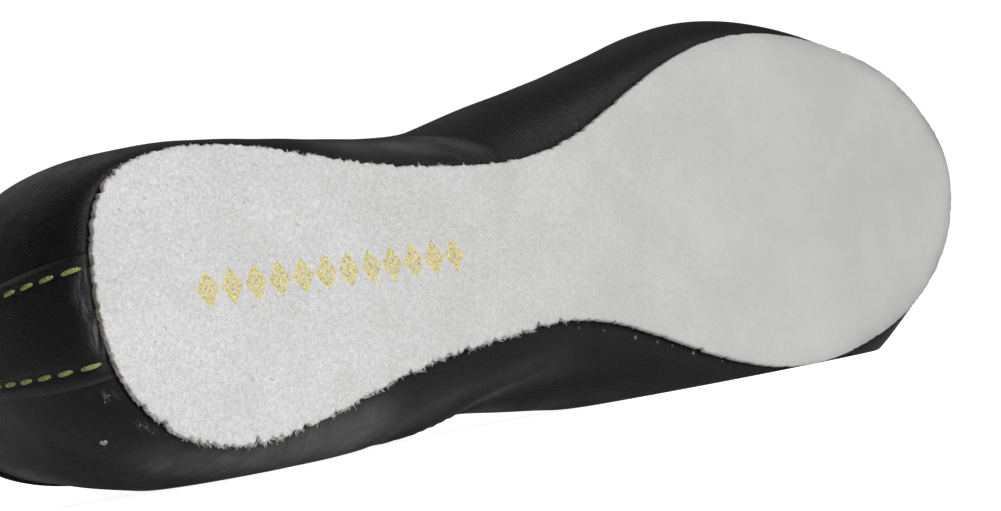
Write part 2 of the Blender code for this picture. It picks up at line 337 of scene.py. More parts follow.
    def pressed(self, world: np.ndarray, softness: float) -> np.ndarray:
        """World points with what would sink into the floor flattened onto it.

        Args:
            world: points in metres.
            softness: height in millimetres over which the floor bends them.

        Returns:
            The points, none of them under the floor.
        """
        softness *= MM
        height = world[..., 2]
        soft = (height + softness) ** 2 / (4.0 * softness)
        flat = np.where(height < softness, soft, height)
        world = world.copy()
        world[..., 2] = np.where(height < -softness, 0.0, flat)
        return world


def ripple(points: np.ndarray, sizes: Sequence[float], seed: int) -> np.ndarray:
    """Smooth uneven numbers between about -1 and 1 over points in space.

    Args:
        points: rows of coordinates in millimetres.
        sizes: lengths of the waves that are summed.
        seed: picks the waves.

    Returns:
        One value for each row.
    """
    chance = np.random.default_rng(seed)
    total = np.zeros(points.shape[:-1])
    for size in sizes:
        for _ in range(3):
            way = chance.normal(size=points.shape[-1])
            way *= 2.0 * math.pi / (size * np.linalg.norm(way))
            total += np.sin(points @ way + chance.uniform(0.0, 2.0 * math.pi))
    return total / (3.0 * math.sqrt(len(sizes)))


def grid_faces(rows: int, columns: int, closed: bool, flip: bool = False) -> np.ndarray:
    """Quads over a grid of points numbered row by row.

    Args:
        rows: rows of the grid.
        columns: points in each row.
        closed: whether the last row joins the first.
        flip: whether the quads face the other way.

    Returns:
        A row of four point numbers for each quad.
    """
    row = np.arange(rows if closed else rows - 1)[:, None]
    column = np.arange(columns - 1)[None, :]
    here = row * columns + column
    there = ((row + 1) % rows) * columns + column
    quads = np.stack([here, here + 1, there + 1, there], axis=-1).reshape(-1, 4)
    return quads[:, ::-1] if flip else quads


def make_piece(name: str, points: np.ndarray, faces: Sequence,
               materials: Sequence[bpy.types.Material],
               replaces: Sequence[str] = ()) -> bpy.types.Object:
    """Make a mesh piece that rides on the shoe.

    Args:
        name: piece name.
        points: world points in metres.
        faces: rows of point numbers.
        materials: what it is made of; its faces take the first.
        replaces: nodes of the part that the piece stands for.

    Returns:
        The new object.
    """
    mesh = bpy.data.meshes.new(name)
    mesh.from_pydata(np.asarray(points, float).reshape(-1, 3).tolist(), [],
                     [tuple(map(int, face)) for face in faces])
    mesh.update()
    mesh.shade_smooth()
    item = bpy.data.objects.new(name, mesh)
    bpy.context.scene.collection.objects.link(item)
    if replaces:
        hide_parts(*replaces)
    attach(item, "root")
    for material in materials:
        mesh.materials.append(material)
    LOG.info("%s: %d faces", name, len(mesh.polygons))
    return item


def set_layer(item: bpy.types.Object, name: str, values: np.ndarray,
              vectors: bool = False) -> None:
    """Store a number, or a vector, for each point of a piece under a name.

    Args:
        item: the piece.
        name: the layer's name.
        values: what is stored, point by point.
        vectors: whether each point has three numbers.
    """
    kind, field = ("FLOAT_VECTOR", "vector") if vectors else ("FLOAT", "value")
    layer = item.data.attributes.new(name, kind, "POINT")
    layer.data.foreach_set(field, np.asarray(values, np.float32).ravel())


class Strands:
    """Closed tubes gathered into the points and faces of one piece."""

    def __init__(self) -> None:
        """Start without a tube."""
        self.points: list = []
        self.faces: list = []
        self.count = 0

    def add(self, path: np.ndarray, radii: np.ndarray, around: int) -> None:
        """Add a tube along a path.

        Args:
            path: points of its middle line, in metres.
            radii: its radius at each point, in metres.
            around: points in each ring.
        """
        run = np.gradient(path, axis=0)
        run /= np.linalg.norm(run, axis=1)[:, None] + 1e-12
        steep = abs(run[0, 2]) >= 0.8
        up = np.array([0.0, 1.0, 0.0] if steep else [0.0, 0.0, 1.0])
        side = np.cross(run, up)
        side /= np.linalg.norm(side, axis=1)[:, None]
        lift = np.cross(side, run)
        turns = 2.0 * math.pi * np.arange(around) / around
        rings = (path[:, None] + radii[:, None, None]
                 * (np.cos(turns)[None, :, None] * side[:, None]
                    + np.sin(turns)[None, :, None] * lift[:, None]))
        first, last = self.count, self.count + (len(path) - 1) * around
        for ring in range(first, last, around):
            for k in range(around):
                a, b = ring + k, ring + (k + 1) % around
                self.faces.append((a, b, b + around, a + around))
        self.faces.append(tuple(range(first, first + around))[::-1])
        self.faces.append(tuple(range(last, last + around)))
        self.points.append(rings.reshape(-1, 3))
        self.count = last + around

    def build(self, name: str, slot: str, material: bpy.types.Material) -> None:
        """Make the tubes into one piece."""
        make_piece(name, np.vstack(self.points), self.faces, [material])


@dataclass(frozen=True)
class Cloud:
    """A noise, and how the span of it from low to high is stretched.

    scale counts the noise's waves in a metre, detail and roughness are its finer layers.
    """

    scale: float
    detail: float
    roughness: float
    low: float
    high: float
    to_low: float = 0.0
    to_high: float = 1.0


class Sheet:
    """A material's or group's node tree, with short calls to fill it."""

    def __init__(self, tree: bpy.types.NodeTree) -> None:
        """Keep the tree that is filled."""
        self.tree = tree

    def feed(self, node: bpy.types.Node, values: dict) -> None:
        """Set a node's inputs, by name or number, to values or to other outputs."""
        for key, value in values.items():
            if isinstance(value, bpy.types.NodeSocket):
                self.tree.links.new(value, node.inputs[key])
            else:
                node.inputs[key].default_value = value

    def node(self, kind: str, values: Optional[dict] = None, **fields) -> bpy.types.Node:
        """Add a node, set its fields, then feed its inputs.

        Args:
            kind: node type, such as ShaderNodeMath.
            values: input name or number to a value or to another node's output.
            **fields: the node's own fields.

        Returns:
            The node.
        """
        node = self.tree.nodes.new(kind)
        for key, value in fields.items():
            setattr(node, key, value)
        self.feed(node, values or {})
        return node

    def maths(self, operation: str, *values) -> bpy.types.NodeSocket:
        """Output of a Math node."""
        node = self.node("ShaderNodeMath", dict(enumerate(values)), operation=operation)
        return node.outputs[0]

    def product(self, first, second) -> bpy.types.NodeSocket:
        """Product of two numbers."""
        return self.maths("MULTIPLY", first, second)

    def remap(self, value, low: float, high: float, to_low: float = 0.0,
              to_high: float = 1.0) -> bpy.types.NodeSocket:
        """Output of a smooth, clamped Map Range node.

        Args:
            value: output that is stretched.
            low: its value that gives to_low.
            high: its value that gives to_high.
            to_low: what low becomes.
            to_high: what high becomes.

        Returns:
            The stretched output.
        """
        node = self.node("ShaderNodeMapRange",
                         {"Value": value, "From Min": low, "From Max": high,
                          "To Min": to_low, "To Max": to_high},
                         interpolation_type="SMOOTHSTEP")
        return node.outputs[0]

    def noise(self, place, scale: float, detail: float = 2.0,
              roughness: float = 0.5) -> bpy.types.NodeSocket:
        """Factor of a Noise Texture."""
        node = self.node("ShaderNodeTexNoise",
                         {"Vector": place, "Scale": scale, "Detail": detail,
                          "Roughness": roughness})
        return node.outputs["Fac"]

    def cloud(self, place, cloud: Cloud) -> bpy.types.NodeSocket:
        """A stretched noise."""
        factor = self.noise(place, cloud.scale, cloud.detail, cloud.roughness)
        return self.remap(factor, cloud.low, cloud.high, cloud.to_low, cloud.to_high)

    def mix(self, share, *tones) -> bpy.types.NodeSocket:
        """Mix of two colours."""
        first, second = (tone if isinstance(tone, bpy.types.NodeSocket) else (*tone, 1.0)
                         for tone in tones)
        node = self.node("ShaderNodeMix", {0: share, 6: first, 7: second},
                         data_type="RGBA")
        return node.outputs[2]

    def place(self) -> bpy.types.NodeSocket:
        """Object coordinates, which are world metres for every piece."""
        return self.node("ShaderNodeTexCoord").outputs["Object"]

    def layer(self, name: str) -> bpy.types.NodeSocket:
        """A named number that the mesh holds."""
        return self.node("ShaderNodeAttribute", attribute_name=name).outputs["Fac"]

    def chart(self) -> bpy.types.NodeSocket:
        """Metres along and across the piece, which the mesh holds."""
        return self.node("ShaderNodeAttribute", attribute_name="chart").outputs["Vector"]

    def bent(self, place, scale: float, detail: float,
             reach: float) -> bpy.types.NodeSocket:
        """Coordinates pushed about by a noise, as far as reach in metres.

        Args:
            place: coordinates.
            scale: waves of the noise in a metre.
            detail: its finer layers.
            reach: length of the push in metres.

        Returns:
            The pushed coordinates.
        """
        drift = self.node("ShaderNodeTexNoise",
                          {"Vector": place, "Scale": scale, "Detail": detail})
        push = self.node("ShaderNodeVectorMath",
                         {0: drift.outputs["Color"], 1: (reach, reach, reach)},
                         operation="MULTIPLY")
        return self.node("ShaderNodeVectorMath", {0: place, 1: push.outputs[0]},
                         operation="ADD").outputs[0]

    def stretched(self, place, turn: float, sizes: tuple,
                  start: tuple = (0.0, 0.0, 0.0)) -> bpy.types.NodeSocket:
        """Coordinates counted from start in steps of sizes, along a turned axis.

        Args:
            place: coordinates.
            turn: angle in radians.
            sizes: length of a step on each axis.
            start: where the count starts.

        Returns:
            The counted coordinates.
        """
        node = self.node("ShaderNodeMapping",
                         {"Vector": place, "Rotation": (0.0, 0.0, turn),
                          "Scale": sizes, "Location": start}, vector_type="TEXTURE")
        return node.outputs[0]

    def group(self, group: bpy.types.NodeTree, **values) -> bpy.types.NodeOutputs:
        """Outputs of a shared effect with its own values."""
        return self.node("ShaderNodeGroup", values, node_tree=group).outputs


NUMBER = "NodeSocketFloat"
VECTOR = "NodeSocketVector"


def new_group(name: str, inputs: Sequence[tuple], outputs: Sequence[str]) -> tuple:
    """Make a shader node group that reads a place.

    Args:
        name: group name.
        inputs: (name, default) rows of its numbers.
        outputs: names of the numbers that it gives.

    Returns:
        The group, its Sheet, its input node's outputs and its output node.
    """
    group = bpy.data.node_groups.new(name, "ShaderNodeTree")
    group.interface.new_socket("Place", in_out="INPUT", socket_type=VECTOR)
    for label, default in inputs:
        socket = group.interface.new_socket(label, in_out="INPUT", socket_type=NUMBER)
        socket.default_value = default
    for label in outputs:
        group.interface.new_socket(label, in_out="OUTPUT", socket_type=NUMBER)
    entry = group.nodes.new("NodeGroupInput")
    leave = group.nodes.new("NodeGroupOutput")
    return group, Sheet(group), entry.outputs, leave


class Effects:
    """Shader node groups that several finishes share, each built once."""

    def __init__(self) -> None:
        """Build every group."""
        self.grain = self._grain()
        self.nap = self._nap()
        self.flecks = self._flecks()
        self.weave = self._weave()

    @staticmethod
    def _grain(rim: float = 0.35, wrinkle_height: float = 3.0) -> bpy.types.NodeTree:
        """Leather grain: small cells, finer pores and long soft wrinkles.

        Args:
            rim: how far from its border a cell reaches its full height.
            wrinkle_height: height of the wrinkles against the cells.

        Returns:
            The group.
        """
        group, sheet, given, leave = new_group(
            "leather_grain", [("Cells", 1400.0), ("Wrinkle", 0.4)], ["Height", "Shade"])
        place = sheet.bent(given["Place"], 420.0, 2.0, 0.0012)
        cells = sheet.node("ShaderNodeTexVoronoi",
                           {"Vector": place, "Scale": given["Cells"]},
                           feature="DISTANCE_TO_EDGE")
        body = sheet.remap(cells.outputs["Distance"], 0.0, rim)
        pores = sheet.noise(place, 5200.0, 3.0, 0.6)
        long = sheet.noise(given["Place"], 260.0, 3.0, 0.55)
        fine = sheet.maths("ADD", sheet.product(body, 0.6), sheet.product(pores, 0.4))
        wrinkled = sheet.product(long, given["Wrinkle"])
        height = sheet.maths("ADD", fine, sheet.product(wrinkled, wrinkle_height))
        sheet.feed(leave, {"Height": height, "Shade": body})
        return group

    @staticmethod
    def _nap(low: float = 0.38, high: float = 0.62) -> bpy.types.NodeTree:
        """Raised fibres of suede: fine tangled lines and soft clumps.

        Args:
            low: height under which the nap is wholly in shade.
            high: height over which it is wholly lit.

        Returns:
            The group.
        """
        group, sheet, given, leave = new_group(
            "suede_nap", [("Coarse", 0.5)], ["Height", "Shade"])
        place = sheet.bent(given["Place"], 900.0, 3.0, 0.0016)
        strands = sheet.noise(place, 3600.0, 4.0, 0.7)
        clumps = sheet.noise(place, 1300.0, 4.0, 0.65)
        mixed = sheet.node("ShaderNodeMix",
                           {0: given["Coarse"], 2: strands, 3: clumps},
                           data_type="FLOAT").outputs[0]
        sheet.feed(leave, {"Height": mixed, "Shade": sheet.remap(mixed, low, high)})
        return group

    @staticmethod
    def _flecks() -> bpy.types.NodeTree:
        """Scattered round specks, of which a share is kept."""
        group, sheet, given, leave = new_group(
            "flecks", [("Scale", 300.0), ("Size", 0.2), ("Share", 0.3)], ["Mask"])
        cells = sheet.node("ShaderNodeTexVoronoi",
                           {"Vector": given["Place"], "Scale": given["Scale"]})
        near = sheet.maths("LESS_THAN", cells.outputs["Distance"], given["Size"])
        pick = sheet.node("ShaderNodeSeparateColor",
                          {"Color": cells.outputs["Color"]})
        kept = sheet.maths("LESS_THAN", pick.outputs[0], given["Share"])
        sheet.feed(leave, {"Mask": sheet.product(near, kept)})
        return group

    @staticmethod
    def _weave() -> bpy.types.NodeTree:
        """Plain weave of crossing threads."""
        group, sheet, given, leave = new_group(
            "plain_weave", [("Threads", 1500.0)], ["Height"])
        parts = sheet.node("ShaderNodeSeparateXYZ", {"Vector": given["Place"]})
        waves = []
        for axis in (0, 1):
            turned = sheet.product(parts.outputs[axis], given["Threads"])
            waves.append(sheet.maths("ABSOLUTE", sheet.maths("SINE", turned)))
        sheet.feed(leave, {"Height": sheet.maths("MAXIMUM", *waves)})
        return group


def new_material(name: str) -> tuple[bpy.types.Material, Sheet, bpy.types.Node]:
    """Make a material with a Principled shader.

    Args:
        name: material name.

    Returns:
        The material, the Sheet of its nodes and its Principled node.
    """
    material = bpy.data.materials.new(name)
    material.use_nodes = True
    return material, Sheet(material.node_tree), material.node_tree.nodes["Principled BSDF"]


def raise_bump(sheet: Sheet, shader: bpy.types.Node, height: bpy.types.NodeSocket,
               distance: float) -> None:
    """Give the shader the normals of a height times a distance in metres.

    Args:
        sheet: the material's nodes.
        shader: its Principled node.
        height: the height.
        distance: metres for a height of 1.
    """
    bump = sheet.node("ShaderNodeBump", {"Height": height, "Distance": distance})
    sheet.feed(shader, {"Normal": bump.outputs[0]})


@dataclass(frozen=True)
class BlackLeather:
    """Soft black leather: pebbled grain, faint sheen, creases, painted sheen and glue
    smears.
    """

    name: str = "black_leather"
    dark: tuple = (0.0042, 0.0042, 0.0050)
    worn: tuple = (0.0085, 0.0085, 0.0095)
    # pale colour painted in as sheen and floor reflection, and as highlight and fuzz on
    # the back strip's edge
    sheen_and_scuff: tuple = (0.098, 0.094, 0.093)
    glue: tuple = (0.150, 0.150, 0.158)
    cells: float = 1500.0
    wrinkle: float = 0.35
    marked: bool = False
    patches: Cloud = Cloud(45.0, 3.0, 0.6, 0.4, 0.7)
    sheen: Cloud = Cloud(90.0, 4.0, 0.6, 0.35, 0.65, 0.40, 0.54)
    # uneven strength of the painted sheen
    sheen_unevenness: Cloud = Cloud(150.0, 6.0, 0.75, 0.3, 0.7, 0.5, 1.0)
    crease: Cloud = Cloud(1.0, 2.5, 0.55, 0.34, 0.52)
    crease_turn: float = -1.45
    crease_size: tuple = (0.009, 0.0011, 1.0)
    crease_depth: float = 1.6
    crease_dim: float = 0.5
    streak: Cloud = Cloud(1.0, 4.0, 0.6, 0.44, 0.60)
    streak_turn: float = 0.12
    streak_size: tuple = (0.0045, 0.0008, 1.0)
    glue_rough: float = 0.3
    specular: float = 0.22
    relief: float = 0.000085

    def build(self, effects: Effects) -> bpy.types.Material:
        """Make the material; marked leather also reads the piece's own layers.

        Args:
            effects: the shared node groups.

        Returns:
            The material.
        """
        material, sheet, shader = new_material(self.name)
        place = sheet.place()
        grain = sheet.group(effects.grain, Place=place, Cells=self.cells,
                            Wrinkle=self.wrinkle)
        wear = sheet.product(sheet.cloud(place, self.patches), grain["Shade"])
        looks = (sheet.mix(wear, self.dark, self.worn),
                 sheet.cloud(place, self.sheen), grain["Height"])
        if self.marked:
            looks = self._mark(sheet, place, *looks)
        colour, rough, height = looks
        sheet.feed(shader, {"Base Color": colour, "Roughness": rough,
                            "Specular IOR Level": self.specular})
        raise_bump(sheet, shader, height, self.relief)
        return material

    def _mark(self, sheet: Sheet, place: bpy.types.NodeSocket, *looks) -> tuple:
        """Add the creases, a painted pale sheen and the glue smears to the plain leather.

        Args:
            sheet: the material's nodes.
            place: coordinates of the surface.
            *looks: colour, roughness and height of the plain leather.

        Returns:
            The three looks with the marks on them.
        """
        colour, rough, height = looks
        chart = sheet.chart()
        lines = sheet.stretched(chart, self.crease_turn, self.crease_size)
        creased = sheet.layer("creased")
        deep = sheet.product(sheet.cloud(lines, self.crease), creased)
        height = sheet.maths("ADD", height, sheet.product(deep, self.crease_depth))
        # painted sheen: the pale colour is mixed in where its layer asks, unevenly, and
        # dimmer between crease lines
        lit = sheet.remap(sheet.maths("SUBTRACT", creased, deep), 0.0, 1.0,
                          1.0, self.crease_dim)
        uneven = sheet.product(sheet.cloud(place, self.sheen_unevenness), lit)
        colour = sheet.mix(sheet.product(sheet.layer("sheen_and_scuff"), uneven),
                           colour, self.sheen_and_scuff)
        streaks = sheet.stretched(chart, self.streak_turn, self.streak_size)
        smear = sheet.product(sheet.layer("glue"), sheet.cloud(streaks, self.streak))
        colour = sheet.mix(smear, colour, self.glue)
        rough = sheet.maths("ADD", rough, sheet.product(smear, self.glue_rough))
        return colour, rough, height


@dataclass(frozen=True)
class FoilRow:
    """Worn gold foil band on the sole: a plain row of lozenges, in millimetres.

    half_width, edge, ring and ring_width are shares of a lozenge, and relief is the
    share of the nap that the foil presses flat.
    """

    start: tuple = (20.9, -2.2)
    slope: float = 0.0357
    pitch: float = 5.5
    height: float = 7.4
    count: int = 12
    colour: tuple = (0.84, 0.73, 0.29)
    shadow: tuple = (0.37, 0.30, 0.08)
    frayed: float = 0.28
    half_width: float = 0.46
    edge: float = 0.90
    ring: float = 0.40
    ring_width: tuple = (0.05, 0.09)
    end_blur: float = 0.001
    glints: Cloud = Cloud(2100.0, 4.0, 0.7, 0.36, 0.56)
    worn: Cloud = Cloud(1300.0, 5.0, 0.8, 0.33, 0.47)
    fibre: tuple = (0.36, 0.46)
    relief: float = 0.35
    roughness: float = 0.34
    metallic: float = 0.3

    def mask(self, sheet: Sheet, plan: bpy.types.NodeSocket,
             nap: bpy.types.NodeSocket) -> bpy.types.NodeSocket:
        """Cover of the row of lozenges, worn off where the nap is low.

        Args:
            sheet: the sole's nodes.
            plan: metres along and across the sole.
            nap: height of the nap.

        Returns:
            A number between 0 and 1.
        """
        cells = sheet.stretched(
            plan, self.slope, (self.pitch * MM, 0.5 * self.height * MM, 1.0),
            (self.start[0] * MM, self.start[1] * MM, 0.0))
        parts = sheet.node("ShaderNodeSeparateXYZ", {"Vector": cells})
        step = sheet.maths("SUBTRACT", sheet.maths("FRACT", parts.outputs[0]), 0.5)
        side = sheet.maths("DIVIDE", sheet.maths("ABSOLUTE", step), self.half_width)
        rise = sheet.maths("ABSOLUTE", parts.outputs[1])
        broken = sheet.maths("SUBTRACT", sheet.noise(plan, 1500.0, 3.0, 0.6), 0.5)
        reach = sheet.maths("ADD", sheet.maths("ADD", side, rise),
                            sheet.product(broken, self.frayed))
        inner = sheet.maths("ABSOLUTE", sheet.maths("SUBTRACT", reach, self.ring))
        blur = self.end_blur
        covers = (sheet.remap(inner, *self.ring_width),
                  sheet.remap(parts.outputs[0], -blur, blur),
                  sheet.remap(parts.outputs[0], self.count - blur, self.count + blur,
                              1.0, 0.0),
                  sheet.cloud(plan, self.worn), sheet.remap(nap, *self.fibre))
        shape = sheet.remap(reach, self.edge, 1.0, 1.0, 0.0)
        for cover in covers:
            shape = sheet.product(shape, cover)
        return shape


@dataclass(frozen=True)
class Suede:
    """Grey suede of the sole: clumped nap, specks, brown cut edge, worn foil, painted edge
    shade.

    tip is the sole's length in metres. The calm span, the darkening span and speck_fade
    say where along it, as shares, the nap flattens, the colour darkens towards the toe
    and the specks thin out.
    """

    name: str = "grey_suede"
    low: tuple = (0.60, 0.60, 0.60)
    high: tuple = (0.84, 0.84, 0.84)
    toe: tuple = (0.436, 0.435, 0.428)
    speck: tuple = (0.34, 0.33, 0.32)
    edge: tuple = (0.22, 0.17, 0.115)
    # near black painted shade on the upper part of the cut edge and on the sole's upper
    # face
    shaded_top: tuple = (0.022, 0.018, 0.015)
    # painted shade along the sole's rounded rim, mostly round the toe
    rim: tuple = (0.13, 0.13, 0.14)
    foil: FoilRow = FoilRow()
    tip: float = 0.243
    coarse: float = 0.5
    calm: tuple = (0.3, 0.85)
    calm_nap: float = 0.4
    # the colour darkens towards the toe over this span, its strength patchy down to the
    # share below
    toe_darkening: tuple = (-0.04, 1.0)
    toe_darkening_least: float = 0.88
    patches: Cloud = Cloud(42.0, 6.0, 0.68, 0.32, 0.68)
    patch_share: float = 0.22
    # uneven strength of the painted rim shade
    rim_shade_noise: Cloud = Cloud(90.0, 3.0, 0.6, 0.3, 0.7, 0.35, 0.75)
    edge_wear: Cloud = Cloud(700.0, 3.0, 0.6, 0.3, 0.6)
    speck_turn: float = 0.6
    speck_size: tuple = (2.1, 0.9, 1.0)
    speck_fade: tuple = (0.1, 0.7)
    speck_share: tuple = (0.5, 0.1)
    roughness: float = 0.95
    specular: float = 0.2
    relief: float = 0.00042

    def _over(self, sheet: Sheet, along: bpy.types.NodeSocket, span: tuple,
              ends: tuple = (0.0, 1.0)) -> bpy.types.NodeSocket:
        """A number that runs between two ends over a span of the sole's length.

        Args:
            sheet: the sole's nodes.
            along: metres along the sole.
            span: start and end as shares of its length.
            ends: the numbers there.

        Returns:
            The number.
        """
        return sheet.remap(along, span[0] * self.tip, span[1] * self.tip, *ends)

    def build(self, effects: Effects) -> bpy.types.Material:
        """Make the material, each layer over the one before it.

        Args:
            effects: the shared node groups.

        Returns:
            The material.
        """
        material, sheet, shader = new_material(self.name)
        plan = sheet.chart()
        along = sheet.node("ShaderNodeSeparateXYZ", {"Vector": plan}).outputs["X"]
        nap = sheet.group(effects.nap, Place=plan, Coarse=self.coarse)
        calm = self._over(sheet, along, self.calm, (1.0, self.calm_nap))
        lean = sheet.maths("SUBTRACT", nap["Shade"], 0.5)
        shade = sheet.maths("ADD", sheet.product(lean, calm), 0.5)
        patches = sheet.cloud(plan, self.patches)
        toe_darkening = sheet.product(self._over(sheet, along, self.toe_darkening),
                              sheet.remap(patches, 0.0, 1.0, self.toe_darkening_least, 1.0))
        gilt = self.foil.mask(sheet, plan, nap["Height"])
        gold = sheet.mix(sheet.cloud(plan, self.foil.glints), self.foil.shadow,
                         self.foil.colour)
        layers = (
            (toe_darkening, self.toe),
            (self._flecks(sheet, effects, plan, along), self.speck),
            (sheet.product(patches, self.patch_share), self.toe),
            # painted shade on the rounded rim
            (sheet.product(sheet.layer("border"), sheet.cloud(plan, self.rim_shade_noise)),
             self.rim),
            (sheet.product(sheet.layer("cut"), sheet.cloud(plan, self.edge_wear)),
             self.edge),
            # painted shade on the edge's upper part and the upper face
            (sheet.layer("shaded_top"), self.shaded_top),
            (gilt, gold),
        )
        colour = sheet.mix(shade, self.low, self.high)
        for cover, tone in layers:
            colour = sheet.mix(cover, colour, tone)
        sheet.feed(shader, {
            "Base Color": colour,
            "Roughness": sheet.remap(gilt, 0.0, 1.0, self.roughness,
                                     self.foil.roughness),
            "Metallic": sheet.product(gilt, self.foil.metallic),
            "Specular IOR Level": self.specular})
        pressed = sheet.maths("SUBTRACT", calm, sheet.product(gilt, self.foil.relief))
        raise_bump(sheet, shader, sheet.product(nap["Height"], pressed), self.relief)
        return material

    def _flecks(self, sheet: Sheet, effects: Effects, plan: bpy.types.NodeSocket,
                along: bpy.types.NodeSocket) -> bpy.types.NodeSocket:
        """Dark specks in the nap, thickest at the heel.

        Args:
            sheet: the sole's nodes.
            effects: the shared node groups.
            plan: metres along and across the sole.
            along: metres along it.

        Returns:
            Their cover, between 0 and 1.
        """
        dashes = sheet.stretched(plan, self.speck_turn, self.speck_size)
        sizes = ((1500.0, 0.20, 0.20), (520.0, 0.13, 0.22))
        masks = [sheet.group(effects.flecks, Place=dashes, Scale=scale, Size=size,
                             Share=share)["Mask"] for scale, size, share in sizes]
        fade = self._over(sheet, along, self.speck_fade, self.speck_share)
        return sheet.product(sheet.maths("MAXIMUM", *masks), fade)


@dataclass(frozen=True)
class Lining:
    """Woven cotton lining and insole cover."""

    name: str = "insole_lining"
    thread: tuple = (0.66, 0.60, 0.50)
    hollow: tuple = (0.36, 0.31, 0.25)
    threads: float = 4200.0
    worn: Cloud = Cloud(60.0, 4.0, 0.6, 0.35, 0.7)
    worn_share: float = 0.4
    roughness: float = 0.9
    relief: float = 0.0001

    def build(self, effects: Effects) -> bpy.types.Material:
        """Make the material.

        Args:
            effects: the shared node groups.

        Returns:
            The material.
        """
        material, sheet, shader = new_material(self.name)
        weave = sheet.group(effects.weave, Place=sheet.chart(),
                            Threads=self.threads)["Height"]
        cloth = sheet.mix(weave, self.hollow, self.thread)
        worn = sheet.product(sheet.cloud(sheet.place(), self.worn), self.worn_share)
        sheet.feed(shader, {"Base Color": sheet.mix(worn, cloth, self.hollow),
                            "Roughness": self.roughness})
        raise_bump(sheet, shader, weave, self.relief)
        return material


@dataclass(frozen=True)
class Fibre:
    """Loose suede fibres and dried glue: rough, pale and uneven in tone."""

    name: str
    pale: tuple
    deep: tuple
    roughness: float = 0.9
    tone: Cloud = Cloud(1100.0, 3.0, 0.6, 0.35, 0.65)
    relief: float = 0.0001

    def build(self) -> bpy.types.Material:
        """Make the material."""
        material, sheet, shader = new_material(self.name)
        tone = sheet.cloud(sheet.place(), self.tone)
        sheet.feed(shader, {"Base Color": sheet.mix(tone, self.deep, self.pale),
                            "Roughness": self.roughness})
        raise_bump(sheet, shader, tone, self.relief)
        return material


@dataclass(frozen=True)
class Thread:
    """Twisted sewing thread."""

    name: str
    pale: tuple
    deep: tuple
    twist: float = 2600.0
    twist_turn: float = 0.6
    twist_size: tuple = (1.0, 0.45, 1.0)
    contrast: tuple = (0.35, 0.65)
    roughness: float = 0.5
    relief: float = 0.00015

    def build(self) -> bpy.types.Material:
        """Make the material."""
        material, sheet, shader = new_material(self.name)
        place = sheet.stretched(sheet.place(), self.twist_turn, self.twist_size)
        twist = sheet.noise(place, self.twist)
        colour = sheet.mix(sheet.remap(twist, *self.contrast), self.deep, self.pale)
        sheet.feed(shader, {"Base Color": colour, "Roughness": self.roughness})
        raise_bump(sheet, shader, twist, self.relief)
        return material


@dataclass(frozen=True)
class Trace:
    """A line over the upper through (place, level) points, with a soft width.

    As a fold, amount is its height in millimetres; as a mark, its strength.
    """

    path: tuple
    width: float
    amount: float
    fade: bool = True


